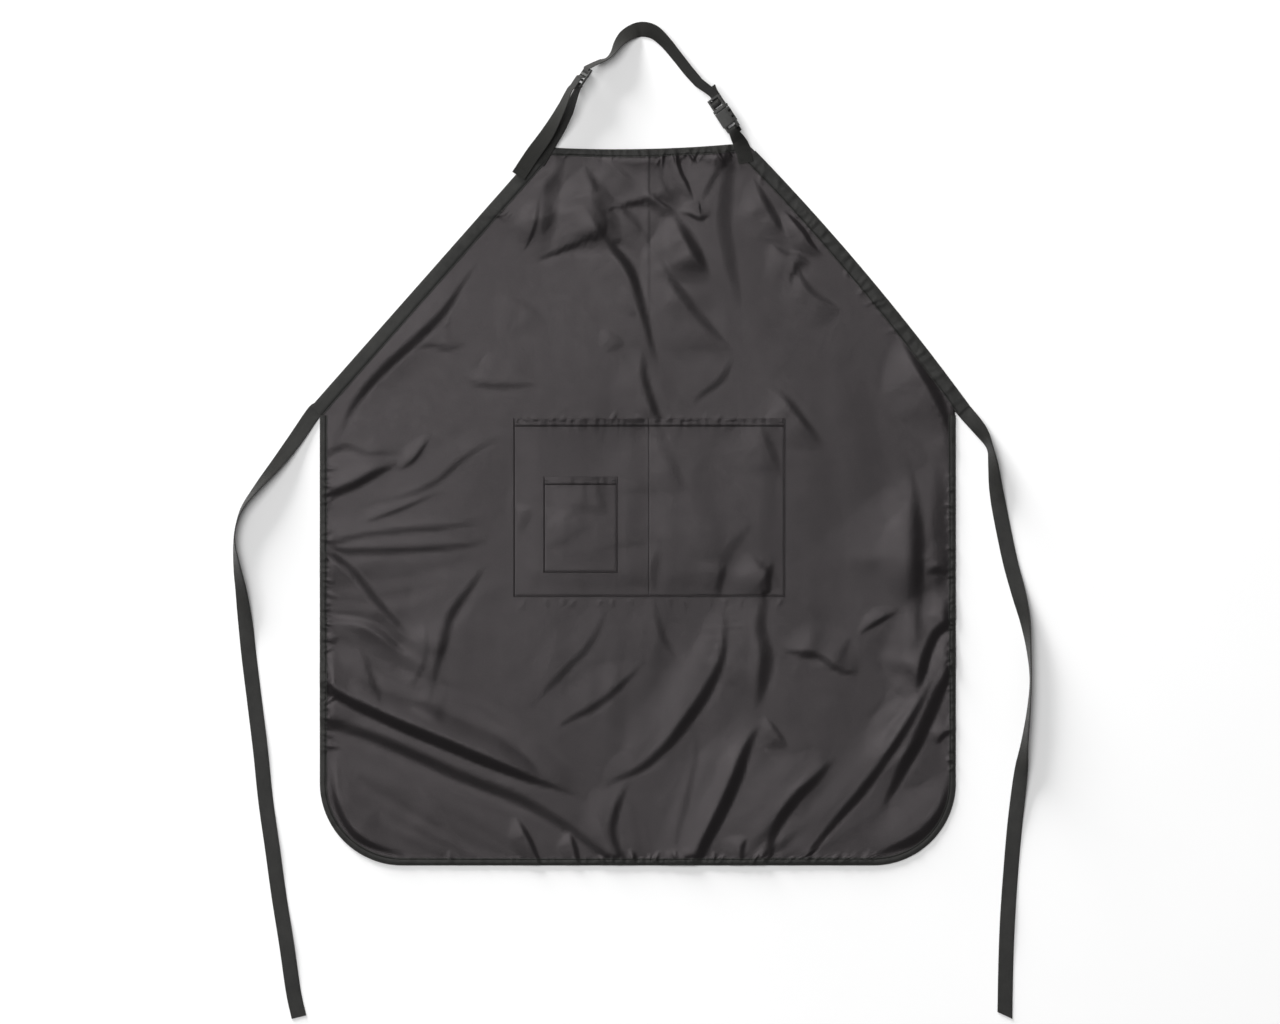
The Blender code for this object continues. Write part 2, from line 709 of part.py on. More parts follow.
def make_neck_strap(slider, buckle):
    """From below the slider's third bar round the neck to its sewn end on the plug."""
    through = weave((slider_bar(1) + WEAVE_LEAD, OVER_LOOP),
                    (slider_bar(2) - WEAVE_LEAD, -PLY))
    through += weave((slider_bar(2) + WEAVE_LEAD, -PLY), (slider_bar(3) - WEAVE_LEAD, PLY))
    start = on_fitting(slider, through + [(slider_bar(3) + SLIDER_BAR * 2 / 3, PLY)])
    loop = lying(NECK_ROUTE, WEBBING_WIDTH, WEBBING_T, TABLE)
    lock_bar = (PLUG_SLOTS[0][1] + PLUG_SLOTS[1][0]) / 2
    end_bar = (PLUG_SLOTS[1][1] + MALE_LENGTH) / 2
    turn = sum(PLUG_SLOTS[0]) / 2
    plug = [(MALE_LENGTH + STRAP_ENTRY, -LOOP_R)]
    plug += weave((end_bar, -LOOP_R), (lock_bar, LOOP_R))
    plug += [(lock_bar - 0.25 * PLY_TURN, 0.93 * LOOP_R), (turn + 0.15 * PLY_TURN, 0.35 * LOOP_R),
             (turn - 0.1 * PLY_TURN, -0.4 * LOOP_R), (turn, -LOOP_R),
             (turn + 0.3 * PLY_TURN, -0.9 * STUB_DROP), (turn + 0.8 * PLY_TURN, -STUB_DROP),
             (end_bar, -STUB_DROP), (MALE_LENGTH + 1.5 * PLY_TURN, -1.1 * STUB_DROP),
             (MALE_LENGTH + 3 * PLY_TURN, -1.5 * STUB_DROP)]
    end = [(centre, -across) for centre, across in on_fitting(buckle, plug)]
    stations = start + loop + end
    strip("neck_strap", stations, WEBBING_WIDTH, WEBBING_T)


TAIL_ROUTE = (
    (-0.1030, 0.3690, 44), (-0.1130, 0.3505, 26), (-0.1240, 0.3310, 10),
    (-0.1400, 0.3080, 2), (-0.1565, 0.2830, 0),
)


def make_tail(slider):
    """Loose hemmed end of the webbing, from the slider's second bar downwards."""
    start = on_fitting(slider, [(slider_bar(1) + WEAVE_LEAD - GAP, OVER_LOOP),
                                (slider_bar(0), OVER_LOOP),
                                (slider_bar(0) - STRAP_ENTRY, OVER_LOOP),
                                (slider_bar(0) - TAIL_RUN, OVER_LOOP + TAIL_LIFT)])
    start = [(centre, -across) for centre, across in start]
    rest = lying(TAIL_ROUTE, WEBBING_WIDTH, WEBBING_T, TAIL_REST)
    strip("strap_tail", start + rest, WEBBING_WIDTH, WEBBING_T)
    end, across = rest[-1]
    heading = (rest[-1][0] - rest[-2][0]).normalized()
    line = end - heading * TAIL_HEM
    rise = Vector((0.0, 0.0, WEBBING_T / 2 + GAP + THREAD_R))
    reach = across.normalized() * (WEBBING_WIDTH / 2 - SEAM_INSET)
    thread("tail_hem_seam", [line + reach + rise, line - reach + rise])


LEFT_STRAP_ROUTE = (
    (-0.1240, 0.2960, 0), (-0.1165, 0.3120, 0), (-0.1090, 0.3270, -8),
    (-0.1010, 0.3430, -26), (-0.0935, 0.3610, -46),
)
RIGHT_STRAP_ROUTE = (
    (0.1165, 0.2990, 0), (0.1135, 0.3120, 0), (0.1110, 0.3190, -7), (0.1070, 0.3265, -28),
)


def make_bib_straps(slider, buckle):
    """Short webbing sewn to each bib corner and looped round its fitting's bar."""
    lower = lying(LEFT_STRAP_ROUTE, WEBBING_WIDTH, WEBBING_T, STRAP_REST)
    bar = slider_bar(0)
    upper = on_fitting(slider, [(bar - STRAP_ENTRY, -LOOP_R)] + loop_round(bar, -LOOP_R)
                       + [(bar - STRAP_RETURN, LOOP_R)])
    strip("left_bib_strap", lower + upper, WEBBING_WIDTH, WEBBING_T)
    lower = lying(RIGHT_STRAP_ROUTE, WEBBING_WIDTH, WEBBING_T, STRAP_REST)
    bar = (SOCKET_SLOT[0] - FEMALE_TOTAL) / 2
    upper = on_fitting(buckle, [(bar - STRAP_ENTRY / 2, LOOP_R)] + loop_round(bar, LOOP_R)
                       + [(bar - STRAP_RETURN, -LOOP_R)])
    strip("right_bib_strap", lower + upper, WEBBING_WIDTH, WEBBING_T)


def make_strap_stitches():
    """Square of thread that holds each short strap to its bib corner."""
    for name, route in (("left_strap_stitch", LEFT_STRAP_ROUTE),
                        ("right_strap_stitch", RIGHT_STRAP_ROUTE)):
        low = Vector(route[0][:2])
        heading = (Vector(route[1][:2]) - low).normalized()
        side = Vector((-heading.y, heading.x)) * STITCH_HALF
        near = low + heading * STITCH_START
        far = near + heading * 2 * STITCH_HALF
        level = STRAP_REST + WEBBING_T + GAP + THREAD_R
        thread(name, at_height([near + side, far + side, far - side, near - side], level),
               cyclic=True)


clear_scene()
PARTS = new_collection("bib_apron")
CUTTERS = new_collection("cutters")
LEFT_BAND, RIGHT_BAND = band_paths()
make_panel(LEFT_BAND, RIGHT_BAND)
make_tapes(LEFT_BAND, RIGHT_BAND)
make_tie("left_waist_tie", LEFT_TIE_ROUTE, TIE_PIVOT_LEFT)
make_tie("right_waist_tie", RIGHT_TIE_ROUTE, TIE_PIVOT_RIGHT)
POCKET_FACE, SMALL_FACE = make_pockets()
make_seams(LEFT_BAND, RIGHT_BAND, POCKET_FACE, SMALL_FACE)
SLIDER_PLACE = placing(SLIDER_CENTRE, SLIDER_HEADING, SLIDER_ROLL)
BUCKLE_PLACE = placing(BUCKLE_CENTRE, BUCKLE_HEADING, BUCKLE_ROLL)
make_slider(SLIDER_PLACE)
make_socket(BUCKLE_PLACE)
make_plug(BUCKLE_PLACE)
make_prong("buckle_prong_left", -1, BUCKLE_PLACE)
make_prong("buckle_prong_right", 1, BUCKLE_PLACE)
make_neck_strap(SLIDER_PLACE, BUCKLE_PLACE)
make_tail(SLIDER_PLACE)
make_bib_straps(SLIDER_PLACE, BUCKLE_PLACE)
make_strap_stitches()
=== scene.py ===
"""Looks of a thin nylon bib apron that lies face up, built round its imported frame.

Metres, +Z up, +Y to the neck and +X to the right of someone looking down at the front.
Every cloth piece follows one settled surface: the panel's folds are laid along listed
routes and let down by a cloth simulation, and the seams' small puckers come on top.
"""
import math

import bpy
import numpy as np
from mathutils import Matrix, Vector, noise


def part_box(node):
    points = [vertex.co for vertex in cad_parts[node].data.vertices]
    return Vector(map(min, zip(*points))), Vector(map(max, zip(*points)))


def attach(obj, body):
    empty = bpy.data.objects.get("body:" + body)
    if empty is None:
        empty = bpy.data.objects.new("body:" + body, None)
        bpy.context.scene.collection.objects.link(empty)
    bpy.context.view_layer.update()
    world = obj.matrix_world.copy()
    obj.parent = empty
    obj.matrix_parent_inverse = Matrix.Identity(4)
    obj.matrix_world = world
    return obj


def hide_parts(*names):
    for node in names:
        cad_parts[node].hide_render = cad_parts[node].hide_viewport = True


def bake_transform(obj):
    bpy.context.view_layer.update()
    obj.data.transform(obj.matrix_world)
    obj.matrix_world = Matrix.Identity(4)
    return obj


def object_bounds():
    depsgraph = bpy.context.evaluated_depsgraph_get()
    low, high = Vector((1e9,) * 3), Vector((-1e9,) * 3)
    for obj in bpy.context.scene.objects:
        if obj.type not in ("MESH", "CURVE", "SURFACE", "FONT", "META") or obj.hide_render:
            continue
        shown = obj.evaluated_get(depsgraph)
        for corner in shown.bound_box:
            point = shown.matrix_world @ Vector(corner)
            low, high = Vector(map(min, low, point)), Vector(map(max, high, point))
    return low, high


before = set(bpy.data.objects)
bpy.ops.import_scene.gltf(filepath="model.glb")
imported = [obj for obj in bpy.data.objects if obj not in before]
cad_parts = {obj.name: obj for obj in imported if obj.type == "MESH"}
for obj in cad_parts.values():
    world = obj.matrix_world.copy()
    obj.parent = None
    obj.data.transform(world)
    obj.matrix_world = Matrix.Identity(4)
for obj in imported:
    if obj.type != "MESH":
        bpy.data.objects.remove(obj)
CAD_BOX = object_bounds()
MM = 0.001

# ---- measures, as in the CAD
PANEL_LOW, PANEL_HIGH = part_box("body_panel")
SKIRT_LEFT, SKIRT_BOTTOM = PANEL_LOW.x, PANEL_LOW.y
SKIRT_RIGHT = PANEL_HIGH.x
CORNER_R = 0.098
BIB_LEFT = Vector((-0.130, 0.317))
BIB_RIGHT = Vector((0.118, 0.322))
BIB_SAG = 0.005
WAIST_LEFT = Vector((SKIRT_LEFT, 0.018))
WAIST_RIGHT = Vector((SKIRT_RIGHT, 0.030))
ARMHOLE_BULGE = 0.0065
TIE_PIVOT_LEFT = Vector((-0.404, 0.0))
TIE_PIVOT_RIGHT = Vector((0.380, 0.0))
BAND_WIDTH = 0.017
BAND_END_CLEARANCE = 0.0040
BINDING_WIDTH = 0.008
BINDING_START = -0.012
HEM_WIDTH = 0.009
HEM_LEFT, HEM_RIGHT = -0.103, 0.090
HEM_TUCK = 0.018      # how far the hem runs on under the straps
SEAM_INSET = 0.0018
POCKET_LOW, POCKET_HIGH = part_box("pocket_panel")
SMALL_LOW, SMALL_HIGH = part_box("small_pocket_panel")
HEM_DROP = 0.0084
TIE_WIDTH = 0.018
WEBBING_WIDTH = 0.018
WEBBING_T = 0.0010
LEAF_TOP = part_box("left_armhole_band")[1].z
STRAP_REST = LEAF_TOP + 0.0005
TAIL_REST = STRAP_REST + 0.0033
TAIL_HEM = 0.010
FLOOR = CAD_BOX[0].z

# ---- cloth, finer than the CAD
CLOTH_MID = 0.0014    # height of the panel's middle surface where it lies flat
CLOTH_T = 0.0004
TAPE_LEAF = 0.0005    # thickness of one leaf of folded tape
TAPE_HALF = 0.0010    # half a folded tape, with the cloth inside it
DEEPEST = 0.0002      # furthest that folds and wrinkles dip below flat cloth
CLEARANCE = 0.0001    # between the floor and what lies on it
CELL = 0.0024         # cell of the panel's grid
SIM_STEP = 2          # grid cells to one cell of the simulated cloth
SIM_FRAMES = 16
SIM_REACH = 0.004     # furthest that the simulation may move a point
SIM_SHARE = 0.5       # share of its movement that is kept
SIM_EVENING = 3
SIM_GAP = 0.0006      # between the simulated cloth and its table
SIM_CLOTH = {"quality": 4, "mass": 0.002, "tension_stiffness": 18, "compression_stiffness": 18,
             "shear_stiffness": 6, "bending_stiffness": 0.004, "air_damping": 1.0}
FINE_FOLD = 7.5       # folds narrower than this, in millimetres, come after the simulation


# ---- curves and numbers

def smooth(points, steps):
    """Catmull-Rom curve through points of any dimension, steps per span."""
    p = np.array(points, float)
    ends = np.vstack([p[:1], p, p[-1:]])
    t = (np.arange(steps) / steps)[:, None]
    spans = []
    for i in range(1, len(ends) - 2):
        a, b, c, d = ends[i - 1:i + 3]
        spans.append(0.5 * (2 * b + (c - a) * t + (2 * a - 5 * b + 4 * c - d) * t ** 2
                            + (3 * b - a - 3 * c + d) * t ** 3))
    return np.vstack(spans + [p[-1:]])


def ease(t):
    t = np.clip(t, 0.0, 1.0)
    return t * t * (3 - 2 * t)


def hump(value, centre, half):
    """Round bump, 1 at the centre and near 0 two halves away."""
    return np.exp(-((value - centre) / half) ** 2)


def arc(centre, radius, start, end, steps):
    angles = np.radians(np.linspace(start, end, steps + 1))
    return np.column_stack([centre[0] + radius * np.cos(angles),
                            centre[1] + radius * np.sin(angles)])


def bowed(start, end, bulge, steps):
    """Points from start to end on a parabola that stands bulge off the chord's left."""
    t = np.linspace(0, 1, steps + 1)[:, None]
    a, b = np.array(start, float), np.array(end, float)
    left = np.array([-(b - a)[1], (b - a)[0]]) / np.linalg.norm(b - a)
    return a + (b - a) * t + left * (bulge * 4 * t * (1 - t))


def headings(points):
    steps = np.gradient(np.array(points, float), axis=0)
    return steps / np.linalg.norm(steps, axis=1)[:, None]


def lengths(points):
    """Distance along a line of points, starting at 0."""
    steps = np.linalg.norm(np.diff(points, axis=0), axis=1)
    return np.concatenate([[0.0], np.cumsum(steps)])


def placed(line, places):
    """Points at some distances along a line."""
    line = np.array(line, float)
    along = lengths(line)
    return np.column_stack([np.interp(places, along, axis) for axis in line.T])


def resampled(points, step):
    """The same line with a point about every step."""
    total = lengths(points)[-1]
    return placed(points, np.linspace(0, total, max(2, int(round(total / step)) + 1)))


# ---- the panel's outline

def round_corner(x, end):
    centre = (x, SKIRT_BOTTOM + CORNER_R)
    return arc(centre, CORNER_R, 270, end, 40)


# The panel's side edges, from the bottom up.
ARMHOLE = bowed(WAIST_RIGHT, BIB_RIGHT, -ARMHOLE_BULGE, 30)
LEFT_SIDE = np.vstack([round_corner(SKIRT_LEFT + CORNER_R, 180), WAIST_LEFT, BIB_LEFT])
RIGHT_SIDE = np.vstack([round_corner(SKIRT_RIGHT - CORNER_R, 360), ARMHOLE])


def left_edge(y):
    return np.interp(y, LEFT_SIDE[:, 1], LEFT_SIDE[:, 0])


def right_edge(y):
    return np.interp(y, RIGHT_SIDE[:, 1], RIGHT_SIDE[:, 0])


def top_edge(x):
    """Height of the bib's top edge, or of its corners beyond them."""
    t = np.clip((BIB_RIGHT.x - x) / (BIB_RIGHT.x - BIB_LEFT.x), 0, 1)
    return BIB_RIGHT.y + (BIB_LEFT.y - BIB_RIGHT.y) * t - BIB_SAG * 4 * t * (1 - t)


def row_shares():
    """Heights of the grid's rows as shares of the panel, closer at the round corners."""
    height = BIB_RIGHT.y - SKIRT_BOTTOM
    first = np.array([0, 0.25, 0.7, 1.4, 2.4, 3.6]) * MM
    rest = np.linspace(first[-1], height, int((height - first[-1]) / CELL))
    shares = np.concatenate([first[:-1], rest]) / height
    if len(shares) % SIM_STEP == 0:
        shares = np.sort(np.append(shares, (shares[-1] + shares[-2]) / 2))
    return shares


ROWS = row_shares()
COLUMNS = int((SKIRT_RIGHT - SKIRT_LEFT) / CELL) // SIM_STEP * SIM_STEP + 1


def grid_points(rows, columns):
    """Flat x and y of a grid of rows (shares of the height) and columns (shares across)."""
    share, across = np.meshgrid(rows, columns, indexing="ij")
    x = np.zeros_like(share)
    for _ in range(4):
        y = SKIRT_BOTTOM + share * (top_edge(x) - SKIRT_BOTTOM)
        left, right = left_edge(y), right_edge(y)
        x = left + across * (right - left)
    return x, y


def grid_places(x, y):
    """Fractional row and column of the grid at flat points."""
    share = (y - SKIRT_BOTTOM) / (top_edge(x) - SKIRT_BOTTOM)
    row = np.interp(share, ROWS, np.arange(len(ROWS)))
    left, right = left_edge(y), right_edge(y)
    column = np.clip((x - left) / (right - left), 0, 1) * (COLUMNS - 1)
    return row, column


def cubic(grid, row, column):
    """Catmull-Rom interpolation of a grid of vectors at fractional places."""
    def weights(f):
        return (-0.5 * f + f ** 2 - 0.5 * f ** 3, 1 - 2.5 * f ** 2 + 1.5 * f ** 3,
                0.5 * f + 2 * f ** 2 - 1.5 * f ** 3, -0.5 * f ** 2 + 0.5 * f ** 3)
    r0 = np.clip(np.floor(row).astype(int), 0, grid.shape[0] - 2)
    c0 = np.clip(np.floor(column).astype(int), 0, grid.shape[1] - 2)
    result = 0.0
    for i, wr in enumerate(weights(row - r0)):
        r = np.clip(r0 + i - 1, 0, grid.shape[0] - 1)
        for j, wc in enumerate(weights(column - c0)):
            c = np.clip(c0 + j - 1, 0, grid.shape[1] - 1)
            result = result + (wr * wc)[..., None] * grid[r, c]
    return result


# ---- folds, listed one by one
# Each fold is (width, drop, start, end, route): millimetres, and how open each end is from
# 0 to 1. The cloth climbs slowly from the left of the route and drops on its right.

BIB_FOLDS = (
    (26, 5.2, 0, 1, ((-124, 180), (-121, 220), (-117, 262), (-110, 314))),
    (7, 1.4, 0, 0, ((-153, 188), (-143, 205), (-135, 228), (-131, 264))),
    (12, 1.9, 0, 0, ((-60, 262), (-68, 278), (-78, 296))),
    (15, 5.6, 0, 0, ((14, 46), (8, 64), (2, 84), (-4, 108), (-12, 140), (-24, 172), (-42, 196),
     (-58, 218), (-70, 240), (-80, 262))),
    (30, 8, 0, 0, ((-34, 196), (-42, 218), (-54, 245), (-66, 290))),
    (13, 2.4, 0, 0, ((2, 196), (-10, 220), (-26, 238), (-44, 256), (-60, 276))),
    (12, 1.5, 0, 0, ((-12, 271), (-28, 284), (-42, 298), (-54, 310))),
    (18, 5.8, 0, 0, ((76, 156), (62, 182), (48, 208), (34, 230), (20, 244))),
    (5, 2.1, 0, 0, ((36, 238), (16, 250), (-4, 265))),
    (6, 1.8, 0, 0, ((34, 239), (48, 236), (62, 231), (76, 240))),
    (26, 5, 0, 1, ((34, 240), (30, 262), (22, 286), (14, 316))),
    (6, 1.9, 0, 1, ((54, 250), (46, 272), (38, 288), (32, 316))),
    (9, 1.5, 0, 1, ((60, 248), (72, 270), (84, 292), (94, 315))),
    (22, 3.6, 0, 1, ((112, 118), (104, 150), (96, 185), (90, 222), (92, 262), (96, 304))),
    (17, 4, 0, 0, ((110, 66), (90, 84), (66, 108), (42, 137), (22, 168), (6, 200))),
    (15, 2, 0, 0, ((50, 2), (64, 20), (84, 34), (96, 52), (104, 72))),
    (12, 3.6, 0, 0, ((172, 200), (156, 224), (142, 248), (124, 282))),
    (11, 2.6, 0, 0, ((198, 176), (180, 188), (164, 190), (143, 204))),
    (7, 2.8, 0, 0, ((210, 186), (194, 202), (182, 220), (158, 244))),
    (11, 2.4, 0, 0, ((240, 121), (218, 130), (200, 140), (186, 156), (172, 182))),
    (12, 3.1, 0, 0, ((212, -42), (194, -22), (180, -4), (164, 16), (142, 32))),
    (13, 3.4, 0, 0, ((22, -40), (12, -12), (2, 16), (-6, 46), (-6, 80))),
    (7, 1, 0, 0, ((-26, 78), (-42, 92), (-58, 102))),
    (13, 1.4, 0, 0, ((-118, 104), (-148, 128), (-186, 146))),
    (3, 0.3, 0, 1, ((1, 60), (0, 130), (0, 200), (0, 314))),
)
LEFT_FOLDS = (
    (15, 4.6, 0, 0, ((-376, -46), (-367, -18), (-350, 14), (-320, 49), (-286, 80), (-250, 115),
     (-224, 152), (-200, 188))),
    (12, 1.8, 0, 0, ((-228, 48), (-206, 33), (-165, 31), (-126, 32))),
    (11, 1.4, 0, 0, ((-292, 68), (-264, 79), (-240, 76), (-214, 82))),
    (12, 1.8, 0.8, 0, ((-390, -52), (-362, -42), (-335, -50), (-292, -47))),
    (13, 3.6, 0.9, 0, ((-390, -102), (-355, -89), (-324, -72), (-294, -60))),
    (5, 1.2, 0, 0, ((-304, -72), (-284, -60), (-270, -42), (-261, -26))),
    (9, 1.2, 0, 0, ((-362, -117), (-300, -103), (-258, -86), (-222, -56), (-188, -36),
     (-164, -43))),
    (6, 1, 0, 0, ((-352, -137), (-300, -118), (-246, -94))),
    (11, 1.8, 0.9, 0, ((-390, -160), (-352, -150), (-300, -143), (-240, -138), (-190, -131))),
    (11, 1.8, 0.9, 0, ((-390, -165), (-340, -167), (-280, -165), (-212, -159), (-182, -145))),
    (15, 5, 0, 0.9, ((-276, -280), (-300, -255), (-325, -228), (-352, -194), (-370, -178),
     (-390, -164))),
    (13, 3.2, 0, 0.8, ((-272, -299), (-297, -285), (-322, -264), (-345, -252), (-390, -248))),
    (15, 3.4, 0, 0, ((-264, -352), (-254, -304), (-245, -270), (-235, -240), (-215, -212),
     (-190, -176))),
    (9, 1.2, 0, 0, ((-290, -338), (-270, -302), (-265, -252))),
    (11, 1.4, 0, 0, ((-316, -362), (-333, -318), (-342, -290), (-357, -258))),
    (17, 8.5, 0.9, 0, ((-390, -330), (-350, -352), (-300, -375), (-240, -400), (-200, -417),
     (-150, -437), (-110, -451), (-68, -468))),
    (20, 5.6, 0.9, 0.5, ((-390, -372), (-340, -386), (-280, -412), (-220, -440), (-160, -463),
     (-110, -490), (-80, -511), (-50, -536))),
    (11, 1.2, 0, 0, ((-294, -352), (-272, -362), (-246, -378))),
)
LOWER_FOLDS = (
    (12, 1.4, 0, 0, ((-140, -362), (-123, -335), (-98, -308), (-74, -283), (-58, -255),
     (-49, -220))),
    (11, 1.9, 0, 0, ((-126, -390), (-92, -369), (-60, -350), (-30, -325), (-2, -296))),
    (15, 4.6, 0, 0, ((-66, -462), (-42, -443), (-8, -427), (20, -402), (45, -371), (70, -335),
     (86, -300), (92, -260), (87, -218))),
    (12, 1.5, 0, 0, ((44, -308), (25, -286), (12, -255), (7, -218))),
    (22, 4.6, 0, 0.4, ((126, -366), (136, -330), (141, -292), (134, -260), (139, -224))),
    (16, 7.0, 0.8, 0, ((58, -541), (68, -515), (88, -478), (105, -440), (116, -408), (127, -385),
     (144, -376))),
    (7, 1.5, 0, 0, ((168, -404), (155, -385), (138, -362))),
    (15, 5, 0.7, 0, ((140, -541), (152, -500), (175, -464), (200, -440), (226, -412))),
    (12, 1.5, 0.3, 0, ((30, -541), (36, -500), (46, -460), (55, -420), (61, -376))),
    (11, 2.5, 0.7, 0, ((-31, -541), (-43, -505), (-38, -475), (-23, -440))),
    (7, 2.5, 0.7, 0, ((-131, -541), (-143, -512), (-161, -482))),
    (15, 1.5, 0.4, 0, ((-213, -536), (-240, -500), (-260, -470), (-278, -446))),
    (6, 2.1, 0.8, 0, ((-84, -541), (-89, -520), (-96, -500))),
    (7, 1.9, 0.6, 0, ((112, -541), (112, -524), (118, -508))),
)
RIGHT_FOLDS = (
    (17, 6.5, 0.4, 0, ((364, -28), (351, 8), (336, 37), (319, 63), (298, 95))),
    (12, 3, 0, 0, ((150, -284), (182, -290), (204, -294), (226, -308), (256, -318))),
    (5, 1.5, 0, 0, ((250, -268), (275, -252), (300, -238))),
    (11, 1.5, 0, 0, ((274, -282), (286, -310), (298, -334), (318, -354))),
    (15, 2.2, 0, 0, ((322, -300), (323, -200), (320, -110), (308, -40))),
    (30, 5.0, 0, 0, ((350, -256), (350, -160), (349, -90), (340, -50))),
    (11, 2.8, 0, 0.6, ((330, -196), (342, -190), (354, -193), (366, -203))),
    (14, 7.5, 0, 0.9, ((318, -346), (326, -318), (334, -288), (346, -264), (366, -252))),
    (12, 4.5, 0.5, 0, ((196, -526), (225, -490), (256, -454), (281, -420), (302, -388),
     (320, -358), (334, -330), (345, -300))),
    (16, 8.0, 0, 0.8, ((278, -482), (290, -456), (306, -424), (322, -394), (337, -362),
     (350, -332), (366, -308))),
    (5, 1.9, 0, 0.8, ((343, -400), (353, -387), (366, -382))),
    (16, 5.5, 0, 0, ((262, -536), (290, -525), (320, -512), (344, -490), (357, -462),
     (360, -425))),
)
BROAD_FOLDS = (
    (60, 2.2, 0, 0, ((262, -300), (268, -180), (262, -60), (240, 60), (222, 130))),
    (50, 1.8, 0, 0, ((168, -360), (205, -250), (214, -140), (200, -40), (180, 60))),
    (60, 2.0, 0, 0, ((-330, -300), (-250, -210), (-170, -60), (-140, 60))),
    (60, 1.6, 0, 0, ((-120, -120), (-40, 20), (40, 110), (90, 190))),
    (70, 2.0, 0, 0, ((-60, -420), (10, -300), (70, -180), (90, -60))),
    (36, 4.5, 0, 0, ((316, -340), (322, -240), (322, -150), (316, -70))),
)
CORNER_SWELL = (12, 5.5, 0, 0, ((-379, -398), (-380, -440), (-373, -474), (-355, -505),
                               (-326, -523), (-286, -532)))
POCKET_FOLDS = (
    (20, 1.4, 0, 0, ((46, -98), (30, -68), (16, -38), (8, -6))),
    (13, 1.1, 0, 0, ((160, -80), (150, -52), (140, -30), (134, -8))),
    (18, 1.1, 0, 0, ((84, -214), (90, -182), (108, -152), (130, -132))),
    (13, 1.1, 0, 0, ((162, -212), (140, -188), (114, -164))),
    (14, 1.0, 0, 0, ((8, -218), (7, -190), (14, -156))),
    (11, 1.2, 0.5, 0, ((84, -224), (85, -205), (94, -180))),
    (11, 1.2, 0.5, 0, ((136, -222), (137, -206), (152, -184))),
    (40, 1.4, 0, 0, ((76, -216), (78, -150), (66, -90), (70, -20))),
    (10, 0.7, 0, 0, ((-136, -118), (-152, -114), (-166, -112))),
)
SMALL_POCKET_FOLDS = (
    (16, 0.8, 0, 0, ((-66, -146), (-84, -124), (-102, -100))),
    (12, 0.7, 0, 0.4, ((-74, -122), (-77, -100), (-80, -82))),
    (12, 0.7, 0, 0.4, ((-50, -124), (-57, -104), (-64, -82))),
    (12, 0.4, 0, 0, ((-94, -164), (-100, -142), (-101, -122))),
)
CLIMB = 3.4       # how much wider a fold's gentle side is than its steep side
END_RUN = 0.42    # share of a route over which a closed end fades in


def fold_height(x, y, fold):
    """Height that one fold adds at flat points."""
    width, drop, start, end, route = fold
    width, drop = width * MM, drop * MM
    line = smooth(np.array(route) * MM, 6)
    reach = width * (CLIMB + 1)
    inside = ((x > line[:, 0].min() - reach) & (x < line[:, 0].max() + reach)
              & (y > line[:, 1].min() - reach) & (y < line[:, 1].max() + reach))
    height = np.zeros_like(x)
    px, py = x[inside], y[inside]
    nearest = np.full(px.shape, 1e9)
    offset = np.zeros_like(px)
    share = np.zeros_like(px)
    along = lengths(line)
    for k in range(len(line) - 1):
        ax, ay = line[k]
        step = line[k + 1] - line[k]
        length = np.hypot(*step)
        t = np.clip(((px - ax) * step[0] + (py - ay) * step[1]) / length ** 2, 0, 1)
        gap = np.hypot(px - ax - t * step[0], py - ay - t * step[1])
        side = np.sign((px - ax) * step[1] - (py - ay) * step[0])
        closer = gap < nearest
        nearest = np.where(closer, gap, nearest)
        offset = np.where(closer, side * gap, offset)
        share = np.where(closer, (along[k] + t * length) / along[-1], share)
    strength = ((start + (1 - start) * ease(share / END_RUN))
                * (end + (1 - end) * ease((1 - share) / END_RUN)))
    local = width * (0.45 + 0.55 * strength)
    crest = offset + local / 2
    height[inside] = drop * strength * (1 - ease(crest / local)) * ease(1 + crest / (CLIMB * local))
    return height


def folds_height(x, y, folds):
    return sum(fold_height(x, y, fold) for fold in folds)


# ---- puckers along the seams
# Each run is (edge route, count, shortest, longest, height, lean): small wrinkles that start
# at the edge, on the left of the route. Lengths and heights are in millimetres.

PUCKER_RUNS = (
    (((-392, -60), (-392, -250), (-392, -410)), 50, 10, 28, 2.3, 0.5),
    (((-300, -541), (-160, -541), (-60, -541)), 24, 8, 20, 1.3, 0.4),
    (((-60, -541), (100, -542), (270, -541)), 70, 9, 26, 2.3, 0.6),
    (((365, -430), (366, -250), (366, -70)), 54, 7, 16, 2.6, 0.4),
    (((350, 50), (290, 125), (235, 190), (122, 318)), 42, 12, 40, 1.5, 0.7),
    (((116, 319), (60, 317), (18, 317)), 17, 18, 48, 2.0, 0.5),
    (((18, 317), (-50, 317), (-124, 317)), 17, 12, 30, 1.3, 0.5),
    (((-134, 312), (-200, 238), (-250, 180)), 20, 14, 44, 1.4, 0.9),
    (((-250, 180), (-330, 90), (-388, 24)), 14, 9, 20, 0.7, 0.5),
    (((-163, -10), (0, -10), (163, -10)), 30, 6, 16, 0.8, 0.5),
    (((163, -226), (0, -226), (-163, -226)), 15, 8, 26, 0.7, 0.6),
)
PUCKER_SEED = 11
PUCKER_HALF = (1.4, 2.8)    # their half widths


